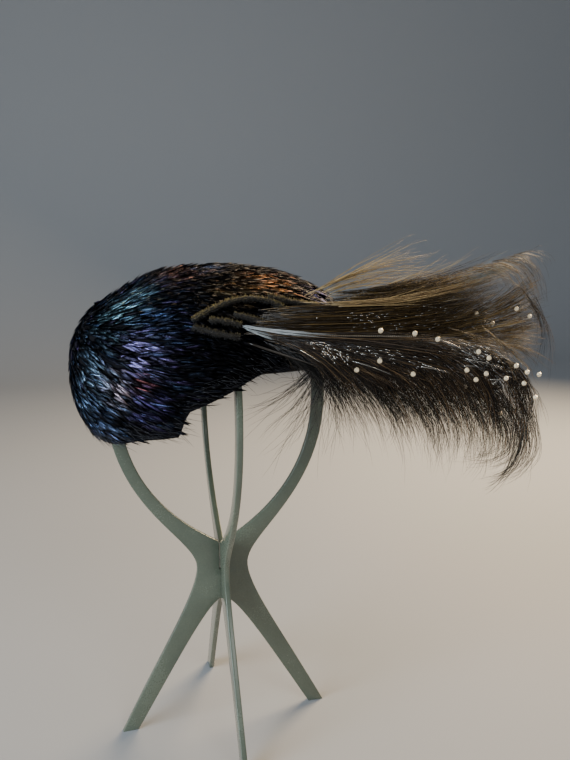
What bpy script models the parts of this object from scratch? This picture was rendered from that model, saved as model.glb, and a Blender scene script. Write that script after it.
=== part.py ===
"""Cocktail hat of dark feathers with a side plume, resting on a folding four-legged stand.

The stand's axis is Z and its feet stand on z = 0. The wide plate lies along X, the cross plate
along Y. The hat's long side follows X, its plume leaves the near side (-Y) and sweeps to +X.
Everything hangs from one empty, which puts the origin under the middle of the whole object.
"""

import math
from collections import namedtuple

import bmesh
import bpy
import numpy as np
from mathutils import Matrix, Vector

OBJECT_NAME = "cocktail_hat_on_stand"

# Clearance between two pieces that touch.
GAP = 0.0003
WELD = 0.000001
FLAT_ANGLE = math.radians(0.2)

# Folding stand: two flat plates, heights from the floor, reaches from the axis.
STAND_HEIGHT = 0.3470
STAND_PLATE = 0.0040
FOOT_REACH = 0.0800
FOOT_LENGTH = 0.0120
CROTCH_HEIGHT = 0.0995
WAIST_HEIGHT = 0.1260
WAIST_REACH = 0.0195
FORK_HEIGHT = 0.1436
CRADLE_HEIGHT = 0.2560
CRADLE_REACH = 0.0812
ARM_WIDTH = 0.0096
ARCH_WIDTH = 0.0095
OUTLINE_STEPS = 8

# Handles of the plates' curves, as shares of the stretch that each one shapes.
ROUND_HANDLE = 0.55
CRADLE_FALL_HANDLE = 0.60
WAIST_RISE_HANDLE = 0.18
WAIST_FALL_HANDLE = 0.16
LEG_HANDLE = (0.43, 0.53)
HEEL_HANDLE = (0.50, 0.57)
CROTCH_HANDLE = 0.15
FORK_HANDLE = (0.36, 0.13)

# Cap: how far its feathered outside stands off the cradle, and its height over and under its
# widest level. The exponent makes it fuller than an ellipsoid.
CAP_END_BULGE = 0.0212
CAP_SIDE_BULGE = 0.0068
CAP_SHIFT = -0.0015
CAP_RISE = 0.0708
CAP_FALL = 0.0735
CAP_FULLNESS = 2.34
CAP_WALL = 0.0015
CAP_SEGMENTS = 36
CAP_RINGS = 18

# Feather cover: shingled tiers that radiate from a pole on the left bulge.
COVER_WALL = 0.0013
FEATHER_STEP = 0.0010
COVER_OVERHANG = 0.0020
FEATHER_TIERS = 16
FEATHER_TAPER_SHARE = 0.38
FEATHER_LIP_SHARE = 0.06
POLE_TILT = -65.0

# Stems: fuzzy tubes laid on the near side of the cap.
STEM_RADIUS = 0.0016
STEM_STEPS = 9

# Plume: five quills with flat locks of barbs. A lock's slant off its quill, in degrees, and its
# length grow less from the quill's root to its tip. Every second lock leans to the other side.
PLUME_REACH = 0.2360
QUILL_RADIUS = 0.0015
QUILL_TIP_SHARE = 0.45
QUILL_STEPS = 14
QUILL_LIFT_SHARE = 0.22
LOCK_WIDTH = 0.0085
LOCK_DEPTH = 0.0026
LOCK_TAPER_SHARES = (0.35, 1.00, 0.75, 0.12)
LOCK_STAGGER = 0.0001
LOCK_FAN = 0.0030
LOCK_SLANT_ROOT = 36.0
LOCK_SLANT_TIP = 18.0
LOCK_TIP_SHARE = 0.48
LAST_LOCK_SHARE = 0.97

# Rhinestones: flat-backed, with a table and eight facets.
STONE_WIDTH = 0.0036
STONE_TABLE = 0.0020
STONE_HEIGHT = 0.0014
STONE_FACETS = 8
STONE_REACH = 0.0060

CAP_HALF_LENGTH = CRADLE_REACH + CAP_END_BULGE
CAP_HALF_DEPTH = CRADLE_REACH + CAP_SIDE_BULGE
COVER_DEPTH = COVER_WALL + FEATHER_STEP
CAP_LEVEL = STAND_HEIGHT + GAP + CAP_WALL + GAP + COVER_DEPTH - CAP_RISE

# The cap's hem, seen from the side. Columns: share of the half length from the middle, share of
# the fall below (or above) the widest level.
HEM = (
    (-1.20, -0.62),
    (-0.75, -0.57),
    (-0.59, -0.48),
    (-0.44, -0.45),
    (-0.35, -0.43),
    (-0.34, -0.31),
    (-0.30, -0.20),
    (-0.15, -0.11),
    (-0.03, -0.03),
    (0.06, 0.045),
    (0.14, 0.10),
    (0.62, 0.11),
    (1.20, 0.115),
)

# Fuzzy stems on the near side. Columns: name, then share of the half length and share of the
# rise at the start, the middle and the end.
Stem = namedtuple("Stem", "name start_x start_z middle_x middle_z end_x end_z")
STEMS = (
    Stem("fuzzy_stem_1", -0.26, 0.54, 0.08, 0.70, 0.34, 0.59),
    Stem("fuzzy_stem_2", -0.01, 0.585, 0.09, 0.545, 0.185, 0.505),
    Stem("fuzzy_stem_3", -0.16, 0.54, -0.06, 0.525, 0.02, 0.495),
    Stem("fuzzy_stem_4", -0.26, 0.49, -0.11, 0.43, 0.01, 0.40),
    Stem("fuzzy_stem_5", 0.23, 0.72, 0.40, 0.655, 0.57, 0.62),
)

# Quills of the plume. Columns: name, root as shares of the half length and of the rise, tip as
# shares of the plume's reach, the half depth and the rise, pitch of the tip in degrees, where
# the locks begin, locks on each side, lock length above and below as shares of the reach, and
# how far a lock's tip sinks as a share of its length.
Plume = namedtuple(
    "Plume",
    "name root_x root_z tip_x tip_y tip_z pitch begin locks above below sink",
)
PLUMES = (
    Plume("plume_top", 0.61, 0.60, 0.87, -0.50, 0.96, 6.0, 0.10, 8, 0.24, 0.30, 0.06),
    Plume("plume_upper", 0.385, 0.555, 0.84, -0.72, 0.62, 0.0, 0.22, 8, 0.26, 0.32, 0.14),
    Plume("plume_middle", 0.08, 0.475, 0.78, -1.16, 0.00, -20.0, 0.36, 8, 0.28, 0.32, 0.22),
    Plume("plume_lower", 0.37, 0.345, 0.78, -0.92, -0.52, -40.0, 0.16, 8, 0.30, 0.26, 0.34),
    Plume("plume_fringe", 0.06, 0.355, 0.58, -1.06, -0.50, -38.0, 0.38, 8, 0.26, 0.22, 0.40),
)

# Rhinestones. Columns: share of the plume's reach from the cap's middle, share of the rise over
# the widest level. Each is seated on the foremost lock or quill near that place.
STONES = (
    (0.29, 0.17),
    (0.39, 0.38),
    (0.39, 0.21),
    (0.46, 0.09),
    (0.53, 0.35),
    (0.60, 0.55),
    (0.61, 0.06),
    (0.64, 0.15),
    (0.65, -0.08),
    (0.69, 0.02),
    (0.70, 0.16),
    (0.76, 0.51),
    (0.74, -0.08),
    (0.77, 0.05),
    (0.80, 0.13),
    (0.81, 0.44),
    (0.84, -0.05),
    (0.85, 0.09),
    (0.88, 0.51),
    (0.94, 0.45),
    (0.89, -0.42),
    (0.80, -0.33),
    (0.67, -0.22),
    (0.47, 0.38),
)


def clear_scene():
    """Removes every object that the scene starts with."""
    for item in list(bpy.data.objects):
        bpy.data.objects.remove(item, do_unlink=True)


def make_collection(name):
    """A collection of this name under the scene's own."""
    collection = bpy.data.collections.new(name)
    bpy.context.scene.collection.children.link(collection)
    return collection


def principled(name, colour, roughness, metallic=0.0):
    """A Principled BSDF material with a plain colour."""
    material = bpy.data.materials.new(name)
    material.use_nodes = True
    shader = material.node_tree.nodes["Principled BSDF"]
    shader.inputs["Base Color"].default_value = (*colour, 1.0)
    shader.inputs["Roughness"].default_value = roughness
    shader.inputs["Metallic"].default_value = metallic
    return material


def add_object(name, data, collection, root, material=None):
    """An object for this data, hung from the root."""
    item = bpy.data.objects.new(name, data)
    collection.objects.link(item)
    item.parent = root
    if material is not None:
        data.materials.append(material)
    return item


def hide_helper(item):
    """Marks a cutter or a joined-in piece, which is no part by itself."""
    item.hide_render = True
    item.display_type = "WIRE"


def mesh_from_curve(curve_object):
    """The curve's solid as a mesh object in its place, caps welded and flat faces merged."""
    bpy.context.view_layer.update()
    graph = bpy.context.evaluated_depsgraph_get()
    mesh = bpy.data.meshes.new_from_object(curve_object.evaluated_get(graph))
    weld = bmesh.new()
    weld.from_mesh(mesh)
    bmesh.ops.remove_doubles(weld, verts=weld.verts, dist=WELD)
    bmesh.ops.dissolve_limit(
        weld, angle_limit=FLAT_ANGLE, verts=weld.verts, edges=weld.edges
    )
    bmesh.ops.recalc_face_normals(weld, faces=weld.faces)
    weld.to_mesh(mesh)
    weld.free()
    name = curve_object.name
    solid = bpy.data.objects.new(name, mesh)
    curve_object.users_collection[0].objects.link(solid)
    solid.parent = curve_object.parent
    solid.matrix_world = curve_object.matrix_world.copy()
    bpy.data.objects.remove(curve_object, do_unlink=True)
    solid.name = name
    return solid


def add_boolean(item, other, operation):
    """One exact Boolean of the item with another object."""
    modifier = item.modifiers.new(f"{operation.lower()}_{other.name}", "BOOLEAN")
    modifier.operation = operation
    modifier.solver = "EXACT"
    modifier.object = other


def add_box(name, low, high, collection, root):
    """A box between two corners."""
    cube = bmesh.new()
    bmesh.ops.create_cube(cube, size=1.0)
    low, high = Vector(low), Vector(high)
    bmesh.ops.scale(cube, vec=high - low, verts=cube.verts)
    bmesh.ops.translate(cube, vec=(low + high) / 2, verts=cube.verts)
    mesh = bpy.data.meshes.new(name)
    cube.to_mesh(mesh)
    cube.free()
    return add_object(name, mesh, collection, root)


def add_outline(curve, knots):
    """A closed Bezier spline through knots of (place, handle before, handle after)."""
    spline = curve.splines.new("BEZIER")
    spline.bezier_points.add(len(knots) - 1)
    for point, (place, before, after) in zip(spline.bezier_points, knots):
        point.handle_left_type = "FREE"
        point.handle_right_type = "FREE"
        point.co = (*place, 0.0)
        point.handle_left = (*before, 0.0)
        point.handle_right = (*after, 0.0)
    spline.use_cyclic_u = True


def mirrored(half):
    """The whole outline from its right half, which starts and ends on the axis."""
    left = [
        ((-place[0], place[1]), (-after[0], after[1]), (-before[0], before[1]))
        for place, before, after in reversed(half[1:-1])
    ]
    return list(half) + left


def plate_outer_half():
    """Right half of a plate's edge: arch, cradle, waist, foot and crotch."""
    top = (0.0, STAND_HEIGHT)
    top_handle = ROUND_HANDLE * CRADLE_REACH
    cradle = (CRADLE_REACH, CRADLE_HEIGHT)
    waist = (WAIST_REACH, WAIST_HEIGHT)
    over_cradle = ROUND_HANDLE * (STAND_HEIGHT - CRADLE_HEIGHT)
    under_cradle = CRADLE_FALL_HANDLE * (CRADLE_HEIGHT - WAIST_HEIGHT)
    over_waist = WAIST_RISE_HANDLE * (CRADLE_HEIGHT - WAIST_HEIGHT)
    under_waist = WAIST_FALL_HANDLE * WAIST_HEIGHT
    foot = (FOOT_REACH, 0.0)
    foot_handle = (
        WAIST_REACH + LEG_HANDLE[0] * (FOOT_REACH - WAIST_REACH),
        LEG_HANDLE[1] * WAIST_HEIGHT,
    )
    heel = (FOOT_REACH - FOOT_LENGTH, 0.0)
    heel_handle = (HEEL_HANDLE[0] * heel[0], HEEL_HANDLE[1] * CROTCH_HEIGHT)
    crotch = (0.0, CROTCH_HEIGHT)
    crotch_handle = CROTCH_HANDLE * heel[0]
    return [
        (top, (-top_handle, top[1]), (top_handle, top[1])),
        (
            cradle,
            (cradle[0], cradle[1] + over_cradle),
            (cradle[0], cradle[1] - under_cradle),
        ),
        (
            waist,
            (waist[0], waist[1] + over_waist),
            (waist[0], waist[1] - under_waist),
        ),
        (foot, foot_handle, foot),
        (heel, heel, heel_handle),
        (crotch, (crotch_handle, crotch[1]), (-crotch_handle, crotch[1])),
    ]


def plate_loop_half():
    """Right half of the loop between the arms, from the arch's underside to the fork."""
    top = (0.0, STAND_HEIGHT - ARCH_WIDTH)
    reach = CRADLE_REACH - ARM_WIDTH
    top_handle = ROUND_HANDLE * reach
    cradle = (reach, CRADLE_HEIGHT)
    over_cradle = ROUND_HANDLE * (top[1] - CRADLE_HEIGHT)
    under_cradle = CRADLE_FALL_HANDLE * (CRADLE_HEIGHT - FORK_HEIGHT)
    fork = (0.0, FORK_HEIGHT)
    fork_rise = FORK_HANDLE[1] * (CRADLE_HEIGHT - FORK_HEIGHT)
    fork_handle = (FORK_HANDLE[0] * reach, FORK_HEIGHT + fork_rise)
    return [
        (top, (-top_handle, top[1]), (top_handle, top[1])),
        (
            cradle,
            (cradle[0], cradle[1] + over_cradle),
            (cradle[0], cradle[1] - under_cradle),
        ),
        (fork, fork_handle, (-fork_handle[0], fork_handle[1])),
    ]


def add_plate(name, turn, collection, root, material):
    """One plate of the stand, upright and turned about the axis."""
    curve = bpy.data.curves.new(name, "CURVE")
    curve.dimensions = "2D"
    curve.fill_mode = "BOTH"
    curve.extrude = STAND_PLATE / 2
    curve.resolution_u = OUTLINE_STEPS
    add_outline(curve, mirrored(plate_outer_half()))
    add_outline(curve, mirrored(plate_loop_half()))
    plate = add_object(name, curve, collection, root, material)
    plate.matrix_local = Matrix.Rotation(turn, 4, "Z") @ Matrix.Rotation(
        math.pi / 2, 4, "X"
    )
    return mesh_from_curve(plate)


def add_slot(name, low, high, collection, root):
    """A slot as wide as a plate and its clearance, cut right through the plate that it crosses."""
    half = STAND_PLATE / 2 + GAP
    slot = add_box(name, (-half, -half, low), (half, half, high), collection, root)
    hide_helper(slot)
    return slot


def build_stand(parts, cutters, root, material):
    """Two crossed plates: half-lapped at the waist, and the wide one's arms end at the arch.

    The cross plate slides down between the arm tips of the wide plate into the waist slot.
    """
    wide = add_plate("stand_plate_wide", 0.0, parts, root, material)
    cross = add_plate("stand_plate_cross", math.pi / 2, parts, root, material)
    middle = (CROTCH_HEIGHT + FORK_HEIGHT) / 2
    past = STAND_PLATE
    under_arch = STAND_HEIGHT - ARCH_WIDTH - past
    slots = (
        (wide, "slot_waist_up", middle - GAP / 2, FORK_HEIGHT + past),
        (wide, "slot_arch", under_arch, STAND_HEIGHT + past),
        (cross, "slot_waist_down", CROTCH_HEIGHT - past, middle + GAP / 2),
    )
    for plate, name, low, high in slots:
        add_boolean(plate, add_slot(name, low, high, cutters, root), "DIFFERENCE")


def cap_point(direction, inset):
    """Where a ray from the cap's middle meets its outside, moved in by the inset."""
    upright = CAP_RISE if direction.z > 0 else CAP_FALL
    axes = (CAP_HALF_LENGTH - inset, CAP_HALF_DEPTH - inset, upright - inset)
    total = sum(abs(part / axis) ** CAP_FULLNESS for part, axis in zip(direction, axes))
    return cap_middle() + direction / total ** (1 / CAP_FULLNESS)


def cap_middle():
    """The middle of the cap, at its widest level."""
    return Vector((CAP_SHIFT, 0.0, CAP_LEVEL))


def near_side(along, up):
    """The point of the cap's near side at shares of its half length and rise, and its normal."""
    rest = 1 - abs(along) ** CAP_FULLNESS - abs(up) ** CAP_FULLNESS
    side = -max(rest, 0.0) ** (1 / CAP_FULLNESS)
    height = CAP_RISE if up > 0 else CAP_FALL
    place = cap_middle() + Vector(
        (along * CAP_HALF_LENGTH, side * CAP_HALF_DEPTH, up * height)
    )
    power = CAP_FULLNESS - 1
    normal = Vector(
        (
            math.copysign(abs(along) ** power, along) / CAP_HALF_LENGTH,
            -(abs(side) ** power) / CAP_HALF_DEPTH,
            math.copysign(abs(up) ** power, up) / height,
        )
    )
    return place, normal.normalized()


def ovoid(name, rings, place_of, collection, root):
    """A sphere primitive whose points are moved, its pole on the cap's left bulge.

    place_of takes the polar angle as a share of half a turn and the azimuth as a segment.
    """
    ball = bmesh.new()
    bmesh.ops.create_uvsphere(
        ball, u_segments=CAP_SEGMENTS, v_segments=rings, radius=1.0
    )
    for point in ball.verts:
        polar = math.acos(max(-1.0, min(1.0, point.co.z))) / math.pi
        azimuth = math.atan2(point.co.y, point.co.x)
        segment = round(azimuth / (2 * math.pi) * CAP_SEGMENTS)
        point.co = place_of(polar, segment)
    bmesh.ops.triangulate(ball, faces=ball.faces, quad_method="FIXED")
    mesh = bpy.data.meshes.new(name)
    ball.to_mesh(mesh)
    ball.free()
    mesh.shade_smooth()
    return add_object(name, mesh, collection, root)


def pole_direction(polar, segment):
    """A direction from its polar angle about the pole (as a share) and its segment."""
    angle = polar * math.pi
    azimuth = segment / CAP_SEGMENTS * 2 * math.pi
    around = Vector(
        (
            math.sin(angle) * math.cos(azimuth),
            math.sin(angle) * math.sin(azimuth),
            math.cos(angle),
        )
    )
    return Matrix.Rotation(math.radians(POLE_TILT), 3, "Y") @ around


def plain_ovoid(name, inset, collection, root):
    """The cap's form at an even inset."""
    return ovoid(
        name,
        CAP_RINGS,
        lambda polar, segment: cap_point(pole_direction(polar, segment), inset),
        collection,
        root,
    )


def feathered_ovoid(name, collection, root):
    """The cap's form in shingled tiers: each feather rises to a pointed tip, then steps down.

    The sphere has two rings a tier: the odd one is the tips, the next one lies at their foot.
    """
    rings = 2 * FEATHER_TIERS

    def place_of(polar, segment):
        ring = round(polar * rings)
        if ring in (0, rings):
            return cap_point(pole_direction(polar, segment), 0.0)
        tier, is_foot = divmod(ring - 1, 2)
        is_point = (segment + tier) % 2
        reach = tier + 1 + FEATHER_LIP_SHARE * is_foot - FEATHER_TAPER_SHARE * (1 - is_point)
        inset = FEATHER_STEP * is_foot
        share = reach / (FEATHER_TIERS + 1)
        return cap_point(pole_direction(share, segment), inset)

    return ovoid(name, rings, place_of, collection, root)


def add_hem_cutter(name, drop, collection, root):
    """Everything under the hem line, lowered by the drop, right across the cap."""
    curve = bpy.data.curves.new(name, "CURVE")
    curve.dimensions = "2D"
    curve.fill_mode = "BOTH"
    curve.extrude = 2 * CAP_HALF_DEPTH
    floor = -2 * CAP_FALL
    line = [
        (CAP_SHIFT + along * CAP_HALF_LENGTH, up * CAP_FALL - drop) for along, up in HEM
    ]
    corners = line + [(line[-1][0], floor), (line[0][0], floor)]
    spline = curve.splines.new("POLY")
    spline.points.add(len(corners) - 1)
    for point, corner in zip(spline.points, corners):
        point.co = (*corner, 0.0, 1.0)
    spline.use_cyclic_u = True
    cutter = add_object(name, curve, collection, root)
    cutter.matrix_local = Matrix.Translation((0, 0, CAP_LEVEL)) @ Matrix.Rotation(
        math.pi / 2, 4, "X"
    )
    cutter = mesh_from_curve(cutter)
    hide_helper(cutter)
    return cutter


def build_cap(parts, cutters, root, felt, feathers):
    """The thin cap and, a clearance outside it, the cover of shingled feathers."""
    cap_inset = COVER_DEPTH + GAP
    cap = plain_ovoid("cap_shell", cap_inset, parts, root)
    cap.data.materials.append(felt)
    cap_hollow = plain_ovoid("cap_hollow", cap_inset + CAP_WALL, cutters, root)
    cover = feathered_ovoid("feather_cover", parts, root)
    cover.data.materials.append(feathers)
    cover_hollow = plain_ovoid("cover_hollow", COVER_DEPTH, cutters, root)
    hem = add_hem_cutter("hem_cutter", 0.0, cutters, root)
    low_hem = add_hem_cutter("low_hem_cutter", COVER_OVERHANG, cutters, root)
    for shell, hollow, under in (
        (cap, cap_hollow, hem),
        (cover, cover_hollow, low_hem),
    ):
        hide_helper(hollow)
        add_boolean(shell, hollow, "DIFFERENCE")
        add_boolean(shell, under, "DIFFERENCE")
    return cover


def tube_curve(name, sides_level):
    """An empty 3D curve for round tubes with caps, for POLY splines."""
    curve = bpy.data.curves.new(name, "CURVE")
    curve.dimensions = "3D"
    curve.bevel_resolution = sides_level
    curve.use_fill_caps = True
    return curve


def add_strand(curve, places, radii):
    """One POLY spline through the places, with a radius for each."""
    spline = curve.splines.new("POLY")
    spline.points.add(len(places) - 1)
    for point, place, radius in zip(spline.points, places, radii):
        point.co = (*place, 1.0)
        point.radius = radius


def stem_route(stem):
    """Points on the near side along a parabola through the stem's start, middle and end."""
    route = []
    for share in np.linspace(0.0, 1.0, STEM_STEPS):
        start = (1 - share) * (1 - 2 * share)
        middle = 4 * share * (1 - share)
        end = share * (2 * share - 1)
        along = start * stem.start_x + middle * stem.middle_x + end * stem.end_x
        up = start * stem.start_z + middle * stem.middle_z + end * stem.end_z
        place, normal = near_side(along, up)
        route.append(place + normal * (STEM_RADIUS + GAP))
    return route


def build_stems(parts, root, material):
    """The fuzzy stems, each one a tube that follows the cap."""
    for stem in STEMS:
        curve = tube_curve(stem.name, 1)
        curve.bevel_depth = STEM_RADIUS
        route = stem_route(stem)
        add_strand(curve, route, [1.0] * len(route))
        add_object(stem.name, curve, parts, root, material)


def bezier(corners, share):
    """The point of a cubic curve with four corners."""
    rest = 1 - share
    weights = (rest**3, 3 * share * rest**2, 3 * share**2 * rest, share**3)
    return sum(
        (corner * weight for weight, corner in zip(weights, corners)), Vector()
    )


def seat_on_cover(cover, along, up):
    """The point of the cover's own surface at shares of the cap's sizes, and the cap's normal."""
    place, normal = near_side(along, up)
    graph = bpy.context.evaluated_depsgraph_get()
    start = place + normal * CAP_RISE
    found, seat, _, _ = cover.evaluated_get(graph).ray_cast(start, -normal)
    return (seat if found else place), normal


def quill_corners(plume, cover):
    """The quill's curve: it rises off the cover at a low slant and ends at the tip's pitch."""
    seat, normal = seat_on_cover(cover, plume.root_x, plume.root_z)
    root = seat + normal * (QUILL_RADIUS + GAP)
    tip = cap_middle() + Vector(
        (
            plume.tip_x * PLUME_REACH,
            plume.tip_y * CAP_HALF_DEPTH,
            plume.tip_z * CAP_RISE,
        )
    )
    span = tip - root
    leave = (span - normal * span.dot(normal)).normalized()
    leave = (leave + normal * QUILL_LIFT_SHARE).normalized()
    pitch = math.radians(plume.pitch)
    arrive = Vector((math.cos(pitch), 0.0, math.sin(pitch)))
    third = span.length / 3
    return root, root + leave * third, tip - arrive * third, tip


def lock_route(corners, plume, share, side, index):
    """A lock's centre line: it leaves the quill at a slant and sinks towards its tip."""
    step = 1 / QUILL_STEPS
    base = bezier(corners, share)
    ahead = (bezier(corners, share + step) - bezier(corners, share - step)).normalized()
    slant = LOCK_SLANT_ROOT + (LOCK_SLANT_TIP - LOCK_SLANT_ROOT) * share
    slant = side * math.radians(slant)
    turned = Matrix.Rotation(-slant, 3, "Y") @ ahead
    turned.y = ahead.y
    length = (plume.above if side > 0 else plume.below) * PLUME_REACH
    length *= 1 + (LOCK_TIP_SHARE - 1) * share
    stagger = LOCK_STAGGER * (side + 0.5 * (index % 2))
    fan = LOCK_FAN * (1 if index % 2 else -1)
    route = []
    for along in np.linspace(0.0, 1.0, len(LOCK_TAPER_SHARES)):
        place = base + turned * (length * along)
        place.y += stagger + fan * along**2
        place.z -= plume.sink * length * along**2
        route.append(place)
    return route


def lock_routes(plume, corners):
    """All locks of a plume, above and below its quill."""
    routes = []
    for index in range(plume.locks):
        share = plume.begin + (LAST_LOCK_SHARE - plume.begin) * index / (plume.locks - 1)
        routes.append(lock_route(corners, plume, share, 1, index))
        routes.append(lock_route(corners, plume, share, -1, index))
    return routes


def add_lock_profile(collection, root):
    """The flat diamond section of a lock, one unit for its whole width."""
    curve = bpy.data.curves.new("lock_profile", "CURVE")
    curve.dimensions = "2D"
    spline = curve.splines.new("POLY")
    corners = ((LOCK_DEPTH / 2, 0), (0, LOCK_WIDTH / 2))
    corners += ((-LOCK_DEPTH / 2, 0), (0, -LOCK_WIDTH / 2))
    spline.points.add(len(corners) - 1)
    for point, corner in zip(spline.points, corners):
        point.co = (*corner, 0.0, 1.0)
    spline.use_cyclic_u = True
    profile = add_object("lock_profile", curve, collection, root)
    hide_helper(profile)
    return profile


def build_plume(plume, cover, profile, parts, cutters, root, material):
    """One quill with its flat locks, fused into a single body; returns it and its seats."""
    corners = quill_corners(plume, cover)
    curve = tube_curve(plume.name, 1)
    curve.bevel_depth = QUILL_RADIUS
    shares = [step / (QUILL_STEPS - 1) for step in range(QUILL_STEPS)]
    places = [bezier(corners, share) for share in shares]
    taper = [1 + (QUILL_TIP_SHARE - 1) * share for share in shares]
    add_strand(curve, places, taper)
    quill = mesh_from_curve(add_object(plume.name, curve, parts, root, material))

    locks = tube_curve(f"{plume.name}_locks", 0)
    locks.bevel_mode = "OBJECT"
    locks.bevel_object = profile
    routes = lock_routes(plume, corners)
    for route in routes:
        add_strand(locks, route, LOCK_TAPER_SHARES)
    barbs = mesh_from_curve(add_object(locks.name, locks, cutters, root))
    hide_helper(barbs)
    add_boolean(quill, barbs, "UNION")
    quill.modifiers[-1].use_self = True
    return quill, strand_seats(places, routes)


def strand_seats(places, routes):
    """Where a stone can sit: on the quill past its bare root, and on the body of each lock."""
    seats = places[QUILL_STEPS // 3 : -1]
    for _, broad, narrow, _ in routes:
        seats += [broad.lerp(narrow, share) for share in (0.0, 0.5, 1.0)]
    return seats


def foremost_seat(seats, taken, target):
    """The foremost free seat near the target, or the nearest free one."""
    free = [
        seat
        for seat in seats
        if all((seat - other).length > 2 * STONE_WIDTH for other in taken)
    ]

    def distance(seat):
        return math.hypot(seat.x - target[0], seat.z - target[1])

    near = [seat for seat in free if distance(seat) < STONE_REACH]
    if near:
        return min(near, key=lambda seat: seat.y)
    return min(free, key=distance)


def stone_rim():
    """Offsets of the stone's middle and of the corners of its girdle, across and up."""
    radius = STONE_WIDTH / 2
    turns = [2 * math.pi * corner / STONE_FACETS for corner in range(STONE_FACETS)]
    return [(0.0, 0.0)] + [
        (radius * math.cos(turn), radius * math.sin(turn)) for turn in turns
    ]


def front_under_stone(plumes, seat):
    """Where the foremost surface under a stone at this seat lies along Y."""
    graph = bpy.context.evaluated_depsgraph_get()
    solids = [plume.evaluated_get(graph) for plume in plumes]
    hits = []
    for across, up in stone_rim():
        start = seat + Vector((across, -STONE_REACH, up))
        for solid in solids:
            found, hit, _, _ = solid.ray_cast(
                start, Vector((0, 1, 0)), distance=2 * STONE_REACH
            )
            if found:
                hits.append(hit.y)
    return min(hits)


def build_stones(plumes, seats, parts, root, material):
    """The rhinestones, their backs a clearance off the strands that carry them."""
    bpy.context.view_layer.update()
    taken = []
    for number, (along, up) in enumerate(STONES, start=1):
        target = (CAP_SHIFT + along * PLUME_REACH, CAP_LEVEL + up * CAP_RISE)
        seat = foremost_seat(seats, taken, target)
        taken.append(seat)
        back = front_under_stone(plumes, seat) - GAP
        stone = bmesh.new()
        bmesh.ops.create_cone(
            stone,
            cap_ends=True,
            segments=STONE_FACETS,
            radius1=STONE_WIDTH / 2,
            radius2=STONE_TABLE / 2,
            depth=STONE_HEIGHT,
        )
        name = f"rhinestone_{number:02d}"
        mesh = bpy.data.meshes.new(name)
        stone.to_mesh(mesh)
        stone.free()
        item = add_object(name, mesh, parts, root, material)
        item.rotation_euler.x = math.pi / 2
        item.location = (seat.x, back - STONE_HEIGHT / 2, seat.z)


def world_points(item, graph):
    """Every point of the item's evaluated solid, in the scene's frame."""
    evaluated = item.evaluated_get(graph)
    mesh = evaluated.to_mesh()
    points = np.empty(len(mesh.vertices) * 3, np.float32)
    mesh.vertices.foreach_get("co", points)
    evaluated.to_mesh_clear()
    world = np.array(item.matrix_world)
    return points.reshape(-1, 3) @ world[:3, :3].T + world[:3, 3]


def centre_on_origin(items, root):
    """Moves the root so that the origin lies under the middle of the whole object."""
    bpy.context.view_layer.update()
    graph = bpy.context.evaluated_depsgraph_get()
    points = np.concatenate([world_points(item, graph) for item in items])
    middle = (points.min(axis=0) + points.max(axis=0)) / 2
    root.location = (-middle[0], -middle[1], 0.0)


def main():
    clear_scene()
    parts = make_collection(OBJECT_NAME)
    cutters = make_collection(f"{OBJECT_NAME}_cutters")
    root = bpy.data.objects.new("root", None)
    parts.objects.link(root)

    plastic = principled("sage_plastic", (0.20, 0.25, 0.22), 0.35)
    felt = principled("black_felt", (0.010, 0.010, 0.012), 0.90)
    feathers = principled("dark_feathers", (0.012, 0.018, 0.045), 0.35)
    chenille = principled("olive_fuzz", (0.060, 0.048, 0.030), 0.95)
    plumage = principled("plume_barbs", (0.045, 0.034, 0.022), 0.55)
    crystal = principled("crystal", (0.90, 0.90, 0.92), 0.05)

    build_stand(parts, cutters, root, plastic)
    cover = build_cap(parts, cutters, root, felt, feathers)
    bpy.context.view_layer.update()
    build_stems(parts, root, chenille)
    profile = add_lock_profile(cutters, root)
    plumes = []
    seats = []
    for plume in PLUMES:
        solid, places = build_plume(
            plume, cover, profile, parts, cutters, root, plumage
        )
        plumes.append(solid)
        seats += places
    build_stones(plumes, seats, parts, root, crystal)
    centre_on_origin([item for item in parts.objects if item.type != "EMPTY"], root)


if __name__ == "__main__":
    main()
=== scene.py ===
"""Looks of the feathered cocktail hat on its folding stand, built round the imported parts.

Every shape is worked out in the stand's own frame: metres, Z up, the stand's axis at x = y = 0.
STAND_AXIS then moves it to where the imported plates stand.
"""

from collections import namedtuple

import bpy
import numpy as np
from mathutils import Matrix, Vector


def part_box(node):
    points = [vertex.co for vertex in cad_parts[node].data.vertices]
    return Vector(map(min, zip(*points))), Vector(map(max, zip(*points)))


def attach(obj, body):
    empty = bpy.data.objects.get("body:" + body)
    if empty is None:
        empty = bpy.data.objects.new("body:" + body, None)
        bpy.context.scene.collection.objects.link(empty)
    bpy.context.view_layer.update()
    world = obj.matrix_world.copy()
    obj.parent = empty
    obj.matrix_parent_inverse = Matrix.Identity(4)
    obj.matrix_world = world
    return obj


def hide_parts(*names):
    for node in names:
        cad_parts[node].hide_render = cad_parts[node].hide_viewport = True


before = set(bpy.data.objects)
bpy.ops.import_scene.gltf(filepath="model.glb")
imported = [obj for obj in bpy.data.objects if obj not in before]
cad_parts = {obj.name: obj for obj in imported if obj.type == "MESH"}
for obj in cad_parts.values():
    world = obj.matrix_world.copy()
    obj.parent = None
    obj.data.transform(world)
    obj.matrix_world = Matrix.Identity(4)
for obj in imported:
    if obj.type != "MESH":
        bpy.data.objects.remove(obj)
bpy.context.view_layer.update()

bl_info = {
    "name": "Feathered Cocktail Hat",
    "version": (1, 0, 0),
    "blender": (4, 5, 0),
    "location": "View3D > Sidebar > Hat",
    "description": "Feathers, plume, stones and stand of a small cocktail hat",
    "category": "Add Mesh",
}


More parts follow.
